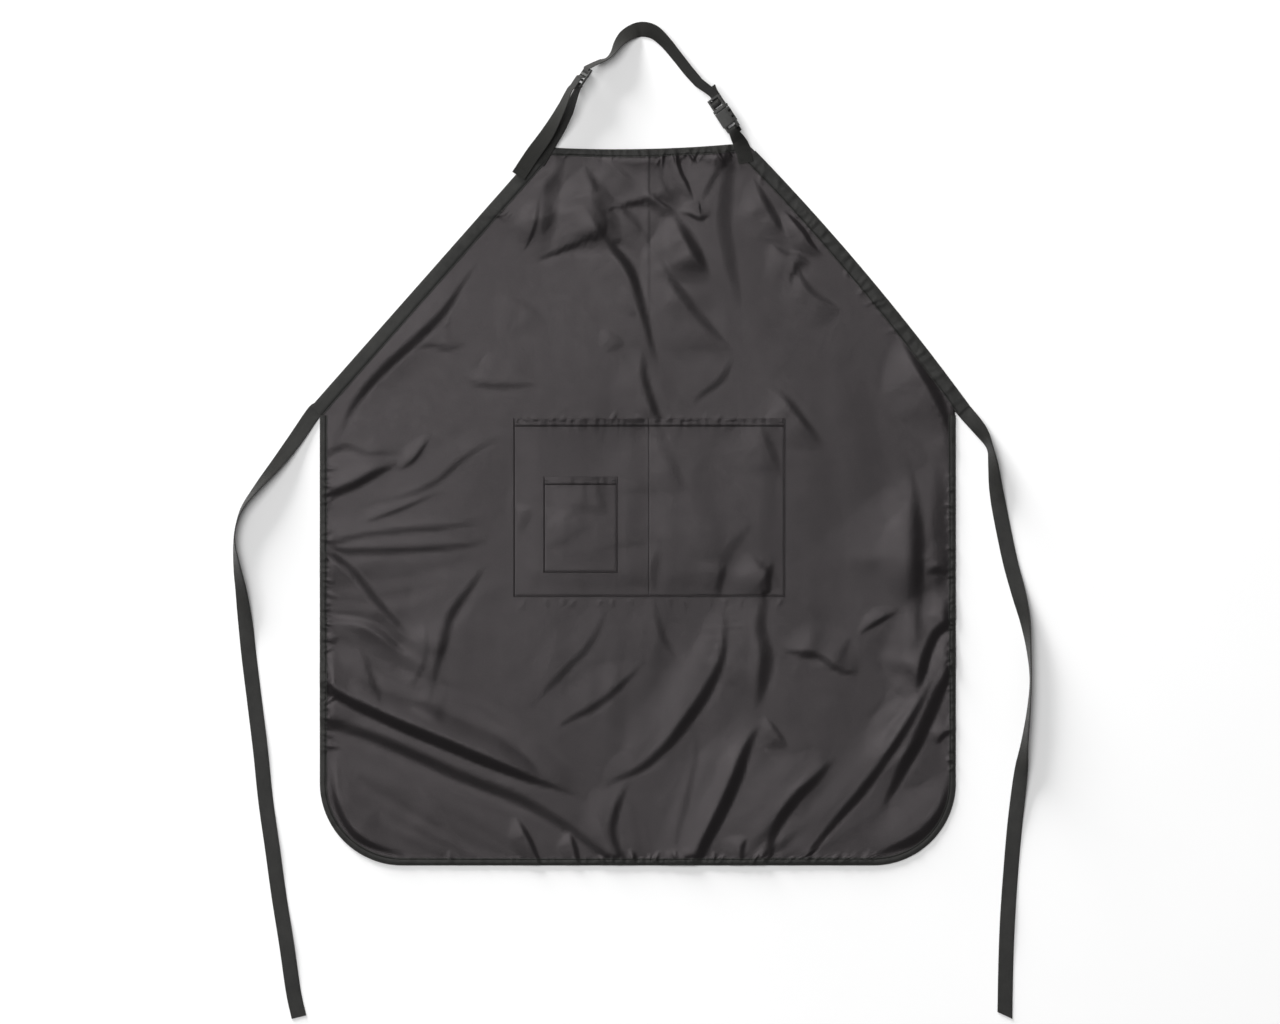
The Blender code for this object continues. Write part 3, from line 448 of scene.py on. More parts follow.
def puckers_height(x, y):
    rng = np.random.default_rng(PUCKER_SEED)
    height = np.zeros_like(x)
    for route, count, shortest, longest, size, lean in PUCKER_RUNS:
        line = resampled(np.array(route) * MM, MM)
        ways = headings(line)
        for k in range(count):
            place = (k + rng.uniform(0.1, 0.9)) / count
            index = int(place * (len(line) - 1))
            start, way = line[index], ways[index]
            inward = np.array([-way[1], way[0]]) + way * rng.normal(0, lean)
            inward /= np.linalg.norm(inward)
            length = rng.uniform(shortest, longest) * rng.uniform(0.5, 1.0) * MM
            half = rng.uniform(*PUCKER_HALF) * MM
            rise = size * rng.uniform(0.35, 1.0) * MM
            along = (x - start[0]) * inward[0] + (y - start[1]) * inward[1]
            across = (x - start[0]) * -inward[1] + (y - start[1]) * inward[0]
            window = ease(1 + along / (2 * MM)) * ease((length - along) / (0.7 * length))
            near = 0.75 + 0.25 * ease(along / (6 * MM))
            height += rise * window * near * np.exp(-(across / (half * (1 - 0.4 * np.clip(
                along / length, 0, 1)))) ** 2)
    return height


def noise_at(x, y, z):
    """Smooth noise at places given as arrays."""
    flat = zip(x.ravel(), y.ravel())
    return np.array([noise.noise(Vector((a, b, z))) for a, b in flat]).reshape(x.shape)


def swell(x, y):
    """Broad, shallow unevenness of cloth that was folded and laid out again."""
    return (noise_at(x * 14, y * 9, 0.3) * 0.65 + noise_at(x * 42, y * 30, 4.1) * 0.2) * MM


def edge_gap(x, y):
    """Distance in from the nearest edge of the panel, roughly."""
    return np.minimum(np.minimum(x - left_edge(y), right_edge(y) - x) * 0.85,
                      np.minimum(y - SKIRT_BOTTOM, top_edge(x) - y))


# (x, y, radius) where webbing lies on the cloth and holds it down, and how much.
PRESSED_SPOTS = ((-0.128, 0.302, 0.020), (0.116, 0.308, 0.018), (-0.146, 0.296, 0.022))
PRESSING = 0.9


def freedom(x, y, least, run):
    """How freely cloth rises: least at an edge, 1 a run away, near 0 under the straps."""
    free = least + (1 - least) * ease(edge_gap(x, y) / run)
    for px, py, radius in PRESSED_SPOTS:
        free = free * (1 - PRESSING * np.exp(-(np.hypot(x - px, y - py) / radius) ** 4))
    return free


# ---- the settled surface

def let_down(points):
    """Drops a grid of cloth by simulation, with its edges held in the seams."""
    rows, columns = points.shape[:2]
    cloth = grid_object("cloth_trial", points, points[..., :2])
    held = cloth.vertex_groups.new(name="held")
    index = np.arange(rows * columns).reshape(rows, columns)
    edge = np.concatenate([index[0], index[-1], index[:, 0], index[:, -1]])
    held.add([int(i) for i in np.unique(edge)], 1.0, "REPLACE")
    bpy.ops.mesh.primitive_plane_add(size=3.0, location=(0, 0, CLOTH_MID - SIM_GAP))
    table = bpy.context.active_object
    table.modifiers.new("solid_table", "COLLISION")
    table.collision.thickness_outer = SIM_GAP
    drop = cloth.modifiers.new("drop", "CLOTH")
    for key, value in SIM_CLOTH.items():
        setattr(drop.settings, key, value)
    drop.settings.vertex_group_mass = "held"
    drop.collision_settings.distance_min = SIM_GAP
    drop.point_cache.frame_start, drop.point_cache.frame_end = 1, SIM_FRAMES
    scene = bpy.context.scene
    for step in range(1, SIM_FRAMES + 1):
        scene.frame_set(step)
    evaluated = cloth.evaluated_get(bpy.context.evaluated_depsgraph_get())
    settled = np.zeros(rows * columns * 3)
    evaluated.data.vertices.foreach_get("co", settled)
    for spent in (cloth, table):
        bpy.data.objects.remove(spent, do_unlink=True)
    scene.frame_set(1)
    move = evened(settled.reshape(points.shape) - points, SIM_EVENING)
    far = np.linalg.norm(move, axis=2, keepdims=True)
    return move * np.minimum(1, SIM_REACH / np.maximum(far, 1e-9)) * SIM_SHARE


def evened(grid, rounds):
    """The grid with every inner value averaged with its four neighbours, some rounds."""
    for _ in range(rounds):
        around = grid[:-2, 1:-1] + grid[2:, 1:-1] + grid[1:-1, :-2] + grid[1:-1, 2:]
        grid[1:-1, 1:-1] = (grid[1:-1, 1:-1] * 2 + around) / 6
    return grid


def grid_object(name, points, weave):
    """Mesh object from a grid of points, with each point's place in the flat cloth."""
    rows, columns = points.shape[:2]
    index = np.arange(rows * columns).reshape(rows, columns)
    faces = np.stack([index[:-1, :-1], index[:-1, 1:], index[1:, 1:], index[1:, :-1]], axis=-1)
    return mesh_object(name, points.reshape(-1, 3), faces.reshape(-1, 4).tolist(),
                       weave.reshape(-1, 2))


def mesh_object(name, points, faces, weave):
    mesh = bpy.data.meshes.new(name)
    mesh.from_pydata(np.asarray(points).tolist(), [], faces)
    mesh.shade_smooth()
    places = np.zeros((len(points), 3), np.float32)
    places[:, :2] = weave
    attribute = mesh.attributes.new("weave", "FLOAT_VECTOR", "POINT")
    attribute.data.foreach_set("vector", places.ravel())
    obj = bpy.data.objects.new(name, mesh)
    bpy.context.scene.collection.objects.link(obj)
    return obj


def settle_panel():
    """The panel's grid, flat, and its displacement from there, as (rows, columns, 3)."""
    x, y = grid_points(ROWS, np.linspace(0, 1, COLUMNS))
    every = BIB_FOLDS + LEFT_FOLDS + LOWER_FOLDS + RIGHT_FOLDS + (CORNER_SWELL,)
    broad = [fold for fold in every if fold[0] >= FINE_FOLD] + list(BROAD_FOLDS)
    fine = [fold for fold in every if fold[0] < FINE_FOLD]
    rough_x, rough_y = x[::SIM_STEP, ::SIM_STEP], y[::SIM_STEP, ::SIM_STEP]
    rise = folds_height(rough_x, rough_y, broad) + swell(rough_x, rough_y)
    rise = np.maximum(rise * freedom(rough_x, rough_y, least=0.35, run=0.014), 0.0)
    moved = np.stack([np.zeros_like(rise), np.zeros_like(rise), rise], axis=-1)
    moved += let_down(np.stack([rough_x, rough_y, CLOTH_MID + rise], axis=-1))
    rows, columns = np.meshgrid(np.arange(len(ROWS)) / SIM_STEP,
                                np.arange(COLUMNS) / SIM_STEP, indexing="ij")
    moved = cubic(moved, rows, columns)
    small = folds_height(x, y, fine) + puckers_height(x, y)
    moved[..., 2] += small * freedom(x, y, least=0.7, run=0.010)
    moved[..., 2] = np.maximum(moved[..., 2], -DEEPEST)
    return x, y, moved


FLAT_X, FLAT_Y, MOVED = settle_panel()


def settled(x, y):
    """Place of flat points of the panel's middle surface once it has settled."""
    x, y = np.asarray(x, float), np.asarray(y, float)
    row, column = grid_places(x, y)
    move = cubic(MOVED, row, column)
    return np.stack([x + move[..., 0], y + move[..., 1], CLOTH_MID + move[..., 2]], axis=-1)


# ---- materials

class Nodes:
    """A material's node tree, with its Principled BSDF."""

    def __init__(self, name):
        self.material = bpy.data.materials.new(name)
        self.material.use_nodes = True
        self.tree = self.material.node_tree
        self.shader = self.tree.nodes["Principled BSDF"]

    def fill(self, node, inputs):
        """Links sockets to a node's inputs, or sets their values, by index or name."""
        for key, value in inputs.items():
            socket = node.inputs[key.replace("_", " ") if isinstance(key, str) else key]
            if isinstance(value, bpy.types.NodeSocket):
                self.tree.links.new(value, socket)
            else:
                socket.default_value = value

    def add(self, kind, *inputs, settings=(), **named):
        node = self.tree.nodes.new("ShaderNode" + kind)
        for key, value in dict(settings).items():
            setattr(node, key, value)
        self.fill(node, {**dict(enumerate(inputs)), **named})
        return node

    def weave(self):
        """Places in the flat cloth, in metres."""
        return self.add("Attribute", settings={"attribute_name": "weave"}).outputs["Vector"]

    def place(self):
        return self.add("TexCoord").outputs["Object"]

    def noise(self, where, scale, detail=3.0):
        return self.add("TexNoise", where, Scale=scale, Detail=detail).outputs["Fac"]

    def maths(self, operation, *values):
        return self.add("Math", *values, settings={"operation": operation}).outputs[0]

    def times(self, a, b):
        return self.maths("MULTIPLY", a, b)

    def ripple(self, where, axis, period):
        """Sine along one axis of the weave, between -1 and 1."""
        place = self.add("SeparateXYZ", where).outputs[axis]
        return self.maths("SINE", self.times(place, 2 * math.pi / period))

    def ranged(self, value, low, high, start=0.3, stop=0.7):
        return self.add("MapRange", value, start, stop, low, high).outputs[0]

    def mixed(self, share, a, b):
        made = self.add("Mix", share, settings={"data_type": "RGBA"})
        colours = [(*c, 1.0) if isinstance(c, tuple) else c for c in (a, b)]
        self.fill(made, dict(zip((6, 7), colours)))
        return made.outputs[2]

    def mottled(self, value, dark, light):
        return self.mixed(self.ranged(value, 0, 1), dark, light)

    def bump(self, height, depth, below=None):
        under = {"Normal": below} if below else {}
        return self.add("Bump", Height=height, Strength=1.0, Distance=depth,
                        **under).outputs["Normal"]

    def finish(self, colour, roughness, normal, **values):
        looks = {"Base Color": colour, "Roughness": roughness, "Normal": normal}
        self.fill(self.shader, {**looks, **values})
        return self.material


def nylon():
    """Coated nylon taffeta: close plain weave, soft shine, faint mottling."""
    n = Nodes("nylon_taffeta")
    where = n.weave()
    blotches = n.noise(where, 26.0, 4.0)
    grain = n.noise(where, 520.0, 2.0)
    colour = n.mottled(blotches, (0.0075, 0.0066, 0.0070), (0.0115, 0.0100, 0.0106))
    colour = n.mixed(n.ranged(grain, 0, 0.5), colour, (0.016, 0.014, 0.0148))
    roughness = n.ranged(n.noise(where, 70.0, 3.0), 0.29, 0.34)
    checks = n.times(n.ripple(where, 0, 0.00052), n.ripple(where, 1, 0.00060))
    normal = n.bump(n.noise(where, 160.0, 3.0), 0.00010)
    normal = n.bump(grain, 0.00004, normal)
    normal = n.bump(checks, 0.00002, normal)
    return n.finish(colour, roughness, normal, Specular_IOR_Level=0.36, Sheen_Weight=0.01,
                    Sheen_Roughness=0.4, Specular_Tint=(1.0, 0.92, 0.945, 1.0))


def tape():
    """Folded nylon tape: fine crosswise ribs, paler along the folded edge."""
    n = Nodes("folded_tape")
    where = n.weave()
    ribs = n.ripple(where, 0, 0.0011)
    threads = n.ripple(where, 1, 0.0007)
    blotches = n.noise(where, 60.0, 4.0)
    colour = n.mottled(blotches, (0.0080, 0.0078, 0.0070), (0.0140, 0.0136, 0.0122))
    edge = n.add("SeparateXYZ", where).outputs[1]
    # Colour turns paler within about 1.5 mm of where the weave's across place is 0: along the
    # folded edge of the edge tapes, and along one long edge of each tie.
    pale_edge = n.ranged(edge, 0.55, 0.0, -0.0005, 0.0015)
    colour = n.mixed(pale_edge, colour, (0.024, 0.023, 0.021))
    roughness = n.ranged(n.noise(where, 300.0), 0.44, 0.56)
    normal = n.bump(blotches, 0.0003)
    normal = n.bump(n.times(ribs, threads), 0.00005, normal)
    return n.finish(colour, roughness, normal, Specular_IOR_Level=0.42, Sheen_Weight=0.02,
                    Sheen_Roughness=0.4)


def webbing():
    """Woven webbing: ribs across it that break step at every yarn."""
    n = Nodes("woven_webbing")
    where = n.weave()
    ribs = n.ripple(where, 0, 0.0017)
    yarns = n.ripple(where, 1, 0.0026)
    basket = n.times(ribs, yarns)
    fibres = n.noise(where, 1500.0, 2.0)
    colour = n.mixed(n.ranged(basket, 0, 1, -0.6, 0.6), (0.007, 0.0069, 0.0062),
                     (0.016, 0.0157, 0.0143))
    colour = n.mixed(n.ranged(fibres, 0, 0.6), colour, (0.026, 0.0255, 0.0235))
    roughness = n.ranged(fibres, 0.55, 0.72)
    normal = n.bump(fibres, 0.00010)
    normal = n.bump(basket, 0.00016, normal)
    return n.finish(colour, roughness, normal, Specular_IOR_Level=0.28, Sheen_Weight=0.03,
                    Sheen_Roughness=0.5)


def plastic():
    """Moulded acetal: satin, with a fine spark-eroded texture and flow marks."""
    n = Nodes("moulded_plastic")
    where = n.place()
    texture = n.noise(where, 2600.0, 2.0)
    flow = n.noise(where, 130.0, 3.0)
    colour = n.mottled(flow, (0.026, 0.026, 0.0245), (0.044, 0.044, 0.042))
    colour = n.mixed(n.ranged(texture, 0, 0.35), colour, (0.062, 0.062, 0.059))
    roughness = n.ranged(flow, 0.34, 0.50)
    normal = n.bump(texture, 0.00006)
    return n.finish(colour, roughness, normal, Specular_IOR_Level=0.4)


def thread():
    """Twisted polyester sewing thread."""
    n = Nodes("sewing_thread")
    where = n.place()
    twist = n.noise(where, 3200.0, 2.0)
    colour = n.mottled(twist, (0.004, 0.0038, 0.0036), (0.012, 0.0115, 0.011))
    roughness = n.ranged(twist, 0.45, 0.7)
    return n.finish(colour, roughness, n.bump(twist, 0.00008), Specular_IOR_Level=0.35)


def floor_card():
    n = Nodes("white_card")
    where = n.place()
    mottle = n.noise(where, 6.0, 3.0)
    colour = n.mottled(mottle, (0.925, 0.925, 0.925), (0.935, 0.935, 0.935))
    roughness = n.ranged(mottle, 0.9, 0.95)
    return n.finish(colour, roughness, n.bump(n.noise(where, 300.0), 0.00002),
                    Specular_IOR_Level=0.1)


NYLON, TAPE, WEBBING, PLASTIC, THREAD = nylon(), tape(), webbing(), plastic(), thread()


def dress(obj, material, node=None, body="apron"):
    """Material, slot, body and replaced CAD node of one piece."""
    obj.data.materials.clear()
    obj.data.materials.append(material)
    if body:
        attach(obj, body)
    if node:
        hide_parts(node)
    return obj


def thicken(obj, thickness, offset):
    solid = obj.modifiers.new("cloth_thickness", "SOLIDIFY")
    solid.thickness = thickness
    solid.offset = offset
    return obj


# ---- stitches

STITCH_LENGTH = 0.0024
STITCH_PITCH = 0.0032
STITCH_R = 0.00021
# (place along the stitch, thickness, lift) of each ring, in lengths and in radii.
STITCH_RINGS = ((-0.5, 0.0, -1.6), (-0.36, 0.8, -0.2), (0.0, 1.0, 0.55), (0.36, 0.8, -0.2),
                (0.5, 0.0, -1.6))
STITCH_SIDES = 6


def tube_faces(rings, count):
    """Faces of a closed body of rings of count points each."""
    index = np.arange(rings * count).reshape(rings, count)
    turned = np.roll(index, -1, axis=1)
    faces = np.stack([index[:-1], turned[:-1], turned[1:], index[1:]], axis=-1)
    return faces.reshape(-1, 4).tolist() + [index[0][::-1].tolist(), index[-1].tolist()]


def stitches(name, lines, node=None, body="apron", length=STITCH_LENGTH, pitch=STITCH_PITCH):
    """Rows of single stitches, each a small bent spindle, on lines of 3D points."""
    points, faces = [], []
    spindle = tube_faces(len(STITCH_RINGS), STITCH_SIDES)
    angles = [2 * math.pi * k / STITCH_SIDES for k in range(STITCH_SIDES)]
    for line in lines:
        total = lengths(line)[-1]
        count = max(1, int(total / pitch))
        places = (np.arange(count) + 0.5) * total / count
        ways = placed(line, places + length / 4) - placed(line, places - length / 4)
        for centre, way in zip(placed(line, places), ways):
            way = way / np.linalg.norm(way)
            side = np.cross(way, (0, 0, 1.0))
            side /= max(np.linalg.norm(side), 1e-9)
            up = np.cross(side, way)
            faces += [[len(points) + k for k in face] for face in spindle]
            for share, thick, lift in STITCH_RINGS:
                middle = centre + way * share * length + up * lift * STITCH_R
                reach = max(thick, 0.15) * STITCH_R
                points += [middle + (side * math.cos(a) + up * math.sin(a)) * reach
                           for a in angles]
    obj = mesh_object(name, points, faces, np.zeros((len(points), 2)))
    return dress(obj, THREAD, node, body)


# ---- panel and pockets

def make_panel():
    points = np.stack([FLAT_X, FLAT_Y, np.full_like(FLAT_X, CLOTH_MID)], axis=-1) + MOVED
    cloth = grid_object("panel_cloth", points, np.stack([FLAT_X, FLAT_Y], axis=-1))
    thicken(cloth, CLOTH_T, 0.0)
    return dress(cloth, NYLON, "body_panel")


NEAR_SEAM = np.array([0.0, 0.4, 0.8, 1.2, 1.6, 2.0, 2.6, 3.4, 4.4, 5.6]) * MM
POCKET_FOOT = 0.0009        # height of a sewn pocket over the panel's middle
POCKET_FOLD_EDGE = 0.0006   # ridge of its turned-in edge
POCKET_GROOVE = 0.0003      # dip along its stitches
POCKET_PUFF = 0.0009        # how far its free cloth stands off
SMALL_PUFF = 0.0006
PUFF_RUN = 0.030            # distance from a seam at which it is free
MOUTH_LIFT = 0.0012


def graded(low, high, seams):
    """Places from low to high, closer together near each seam."""
    places = [np.linspace(low, high, int((high - low) / CELL))]
    for seam in seams:
        places += [seam + NEAR_SEAM, seam - NEAR_SEAM]
    every = np.unique(np.round(np.concatenate(places), 6))
    every = every[(every > low + 0.0003) & (every < high - 0.0003)]
    keep = [low]
    for place in every:
        if place - keep[-1] > 0.00035:
            keep.append(place)
    return np.array(keep + [high])


def sewn(gap):
    """Height near a sewn edge: the turned-in fold, the stitch groove, then free cloth."""
    return (POCKET_FOLD_EDGE * hump(gap, 0.0007, 0.0007)
            - POCKET_GROOVE * hump(gap, SEAM_INSET, 0.0007))


def patch_lift(x, y, low, high, folds, dividers, puff, seed):
    """Height of a patch pocket above the cloth that it is sewn to."""
    left, right, bottom, mouth = x - low.x, high.x - x, y - low.y, high.y - y
    free, lift = 1.0, POCKET_FOOT
    for gap in (left, right, bottom):
        free = free * ease((gap - SEAM_INSET) / PUFF_RUN)
        lift = lift + sewn(gap)
    for divider in dividers:
        gap = np.abs(x - divider)
        free = free * ease(gap / PUFF_RUN)
        lift = lift - POCKET_GROOVE * 0.6 * hump(gap, 0, 0.0008)
    hem = 1 - ease((mouth - HEM_DROP) / 0.0016)
    level = np.full_like(x, seed)
    wave = noise_at(x * 150, level, 0.0) + 0.6 * noise_at(x * 330, level, 2.0)
    ripple = wave * 0.0006 * np.exp(-((mouth - 0.005) / 0.008) ** 2)
    lift = lift + puff * free + 0.0005 * hem * ease(left / 0.002) * ease(right / 0.002)
    lift = lift - POCKET_GROOVE * 0.5 * hump(mouth, HEM_DROP, 0.0008)
    lift = lift + MOUTH_LIFT * free * np.exp(-mouth / 0.02) + ripple * (0.3 + free)
    fold = folds_height(x, y, folds) * ease(left / 0.01) * ease(right / 0.01)
    return np.maximum(lift + fold, POCKET_FOOT * 0.8)


POCKET_DIVIDERS = (0.0,)
POCKET_SEED = 3.7
SMALL_SEED = 8.2


def pocket_lift(x, y):
    return patch_lift(x, y, POCKET_LOW, POCKET_HIGH, POCKET_FOLDS, POCKET_DIVIDERS,
                      POCKET_PUFF, POCKET_SEED)


def small_lift(x, y):
    above = patch_lift(x, y, SMALL_LOW, SMALL_HIGH, SMALL_POCKET_FOLDS, (), SMALL_PUFF, SMALL_SEED)
    return pocket_lift(x, y) + above


def make_patch(name, node, low, high, lift, dividers=()):
    """A patch pocket's cloth."""
    columns = graded(low.x, high.x, [low.x, high.x, *dividers])
    rows = graded(low.y, high.y, [low.y, high.y - HEM_DROP, high.y])
    x, y = np.meshgrid(columns, rows)
    points = settled(x, y)
    points[..., 2] += lift(x, y)
    cloth = grid_object(name, points, np.stack([x, y], axis=-1))
    thicken(cloth, CLOTH_T, -1.0)
    return dress(cloth, NYLON, node)


def on_patch(line, lift):
    """A flat line of points laid on a pocket."""
    line = resampled(line, MM)
    points = settled(line[:, 0], line[:, 1])
    points[:, 2] += lift(line[:, 0], line[:, 1]) + STITCH_R * 0.5
    return points


def tack_line(low, high, mouth, side):
    """Zigzag of a bar tack at a mouth corner."""
    width, reach, turns = 0.007, 0.0007, 9
    start = low.x if side == "left" else high.x - width
    shares = np.linspace(0, 1, turns)
    heights = mouth - 0.0047 + reach * np.where(np.arange(turns) % 2, 1.0, -1.0)
    return np.column_stack([start + width * shares, heights])


def make_pocket_seams(prefix, low, high, lift):
    left, right = low.x + SEAM_INSET, high.x - SEAM_INSET
    foot, hem = low.y + SEAM_INSET, high.y - HEM_DROP
    below = hem - 0.002
    lines = {"_seam": [(left, below), (left, foot), (right, foot), (right, below)],
             "_hem_seam": [(left, hem), (right, hem)]}
    for suffix, line in lines.items():
        stitches(prefix + suffix + "_stitches", [on_patch(line, lift)], prefix + suffix)
    for side in ("left", "right"):
        node = prefix + "_tack_" + side
        line = on_patch(tack_line(low, high, high.y, side), lift)
        stitches(node + "_stitches", [line], node, length=0.0016, pitch=0.0008)


# ---- tapes round the edges

def tape_section(leaf):
    """Section of a folded tape as (depth in from the edge, height off the cloth's middle)."""
    seam = leaf - SEAM_INSET
    top = [(leaf, TAPE_HALF - TAPE_LEAF + 0.0001), (leaf + 0.0001, TAPE_HALF - 0.0001),
           (leaf - 0.0005, TAPE_HALF + 0.0001), (seam + 0.0006, TAPE_HALF),
           (seam, TAPE_HALF - 0.00035), (seam - 0.0006, TAPE_HALF + 0.0001)]
    middle = [(seam * share, TAPE_HALF + 0.0003) for share in (0.75, 0.5, 0.25)]
    turn = [(-TAPE_HALF * math.sin(math.radians(a)), TAPE_HALF * math.cos(math.radians(a)))
            for a in (0, 30, 60, 90, 120, 150, 180)]
    under = [(leaf * 0.5, -TAPE_HALF), (leaf, -TAPE_HALF), (leaf, -TAPE_HALF + TAPE_LEAF),
             (0.0002, -TAPE_HALF + TAPE_LEAF), (0.0002, TAPE_HALF - TAPE_LEAF)]
    return top + middle + turn + under


def tape_wave(along, depth, seed, size):
    """Small wrinkles across a tape, where its stitches draw it up."""
    return np.maximum(noise_at(along * 110, depth * 30, seed) * size, -DEEPEST)


def make_tape(name, node, path, leaf, seed, waviness):
    """Tape folded over an edge of the panel, left of the path; returns its seam line."""
    path = resampled(path, 0.0016)
    ways = headings(path)
    inward = np.column_stack([-ways[:, 1], ways[:, 0]])
    depth, height = np.array(tape_section(leaf)).T
    base = path[:, None] + inward[:, None] * np.maximum(depth, 0.0)[:, None]
    points = settled(base[..., 0], base[..., 1])
    points[..., :2] += inward[:, None] * np.minimum(depth, 0.0)[:, None]
    along, across = np.meshgrid(lengths(path), depth, indexing="ij")
    wave = tape_wave(along, across, seed, waviness)
    points[..., 2] += height + np.where(height > 0, wave, 0.0)
    points[..., 2] = np.maximum(points[..., 2], FLOOR + CLEARANCE)
    dress(lofted(name, points, along, across), TAPE, node)
    inset = leaf - SEAM_INSET
    seam = settled(*(path + inward * inset).T)
    wave = tape_wave(along[:, 0], np.full(len(path), inset), seed, waviness)
    seam[:, 2] += TAPE_HALF - 0.0003 + STITCH_R + wave
    return seam


def lofted(name, points, along, across):
    """Closed body from rings of points, one ring a row."""
    faces = tube_faces(*points.shape[:2])
    weave = np.stack([along, across], axis=-1).reshape(-1, 2)
    obj = mesh_object(name, points.reshape(-1, 3), faces, weave)
    obj.data.set_sharp_from_angle(angle=math.radians(50))
    return obj


def band_way(side):
    """Heading of a band at its waist corner, towards the tie."""
    if side == "left":
        return (WAIST_LEFT - BIB_LEFT).normalized()
    return Vector(ARMHOLE[0] - ARMHOLE[1]).normalized()


def left_band_path():
    """Outer edge of the left band, from the bib down to its end at the tie."""
    way = band_way("left")
    run = (TIE_PIVOT_LEFT - BIB_LEFT).dot(way) - BAND_END_CLEARANCE
    return np.array([BIB_LEFT + way * 0.002, BIB_LEFT + way * run])


def right_band_path():
    """Outer edge of the right band, from its end at the tie up to the bib."""
    way = -band_way("right")
    run = (WAIST_RIGHT - TIE_PIVOT_RIGHT).dot(way) - BAND_END_CLEARANCE
    return np.vstack([WAIST_RIGHT - way * run, ARMHOLE[:-1]])


def binding_path():
    left = LEFT_SIDE[(LEFT_SIDE[:, 1] < BINDING_START)][::-1]
    right = RIGHT_SIDE[(RIGHT_SIDE[:, 1] < BINDING_START)]
    return np.vstack([(SKIRT_LEFT, BINDING_START + 0.008), left, right,
                      (SKIRT_RIGHT, BINDING_START + 0.008)])


def hem_path():
    x = np.linspace(HEM_RIGHT + HEM_TUCK, HEM_LEFT - HEM_TUCK, 80)
    return np.column_stack([x, top_edge(x)])


def make_tapes():
    """Four tapes, each with its row of stitches, by name, width, seed and waviness."""
    tapes = (("binding", "edge_binding", "binding_seam", binding_path(), BINDING_WIDTH, 1.3, 0.5),
             ("hem", "top_hem_band", "top_hem", hem_path(), HEM_WIDTH, 5.1, 0.9),
             ("left_band", "left_armhole_band", "left_band", left_band_path(), BAND_WIDTH, 9.7,
              0.4),
             ("right_band", "right_armhole_band", "right_band", right_band_path(), BAND_WIDTH,
              14.9, 1.0))
    for name, node, row, path, leaf, seed, waviness in tapes:
        seam = make_tape(name + "_tape", node, path, leaf, seed, waviness * MM)
        stitches(row + "_stitches", [seam], row if row.endswith("_seam") else row + "_seam")


# ---- ties and webbing

def lying(route, width, thickness, low):
    """Stations (centre, across) of a strip on height low; the route is (x, y, roll)
    in millimetres and degrees.

    A positive roll lifts the edge on the left of the strip's heading.
    """
    samples = smooth(np.array(route) * (MM, MM, 1), 3)
    ways = headings(samples[:, :2])
    stations = []
    for (x, y, roll), way in zip(samples, ways):
        angle = math.radians(roll)
        across = Vector((-way[1] * math.cos(angle), way[0] * math.cos(angle), math.sin(angle)))
        height = low + abs(math.sin(angle)) * width / 2 + math.cos(angle) * thickness / 2
        stations.append((Vector((x, y, height)), across))
    return stations


# Upper half of a strip's section, in half widths and half thicknesses.
STRIP_EDGE = ((-1.0, 0.0), (-0.985, 0.6), (-0.94, 0.98), (-0.86, 1.12), (-0.76, 1.0),
              (-0.5, 0.96), (-0.25, 1.0), (0.0, 0.96), (0.25, 1.0), (0.5, 0.96), (0.76, 1.0),
              (0.86, 1.12), (0.94, 0.98), (0.985, 0.6))


def strip(name, stations, width, thickness, step=0.0012, hem=0.0, slant=0.0):
    """Woven strip with thick selvages; returns it and its lines of (centre, across, up)."""
    rows = np.array([[*centre, *across.normalized()] for centre, across in stations])
    rows = resampled(smooth(rows, 6), step)
    centres, across = rows[:, :3], rows[:, 3:]
    across = across / np.linalg.norm(across, axis=1)[:, None]
    ways = headings(centres)
    up = np.cross(ways, across)
    up /= np.linalg.norm(up, axis=1)[:, None]
    along = lengths(centres)
    section = np.array([*STRIP_EDGE, (1.0, 0.0), *[(u, -v) for u, v in STRIP_EDGE[:0:-1]]])
    half_w, half_t = width / 2, thickness / 2
    doubled = 1 + 0.55 * ease((along - along[-1] + hem) / 0.001) if hem else np.ones_like(along)
    points = (centres[:, None, :] + across[:, None, :] * (section[None, :, :1] * half_w)
              + up[:, None, :] * (section[None, :, 1:] * half_t * doubled[:, None, None]))
    near_end = ease((along - along[-1] + 2 * abs(slant)) / (2 * abs(slant))) if slant else 0 * along
    points += (ways * (near_end * slant)[:, None])[:, None, :] * section[None, :, :1]
    spread = np.repeat(section[None, :, 0] * half_w + half_w, len(along), axis=0)
    obj = lofted(name, points, np.repeat(along[:, None], len(section), axis=1), spread)
    return obj, (centres, across, up * (half_t * doubled)[:, None], along)


def strip_line(lines, offset, start, stop, rise=0.6):
    """A line on a strip's upper face, offset across it, between two distances."""
    centres, across, up, along = lines
    inside = (along >= start) & (along <= stop)
    lift = up / np.linalg.norm(up, axis=1)[:, None] * STITCH_R * rise
    return (centres + across * offset + up + lift)[inside]


LEFT_TIE_ROUTE = (
    (-404, 0, 0), (-425, -34, 12), (-446, -62, 35), (-470, -91, 62), (-489, -118, 80),
    (-497, -150, 85), (-494, -185, 60), (-489, -215, 38), (-484, -255, 12), (-480, -293, 0),
    (-473, -350, 0), (-466, -408, 4), (-460, -466, 0), (-452, -523, 5), (-444, -581, 0),
    (-435, -638, 5), (-426.6, -696, 0), (-420, -726, 0),
)
RIGHT_TIE_ROUTE = (
    (380, 0, 0), (397.5, -22, 30), (408.5, -42, 66), (412.5, -62, 52), (416, -91, 28),
    (422, -125, 8), (433, -178, 5), (443, -216, 18), (451, -250, 48), (455.5, -286, 76),
    (457.5, -322, 88), (455, -360, 80), (450, -400, 62), (445.5, -437, 25), (439, -494, 5),
    (434, -552, 0), (430, -610, 4), (428, -667, 0), (427, -724, 0),
)
TIE_TUCK = 0.014            # what lies inside the band's end
TIE_T = 0.0011
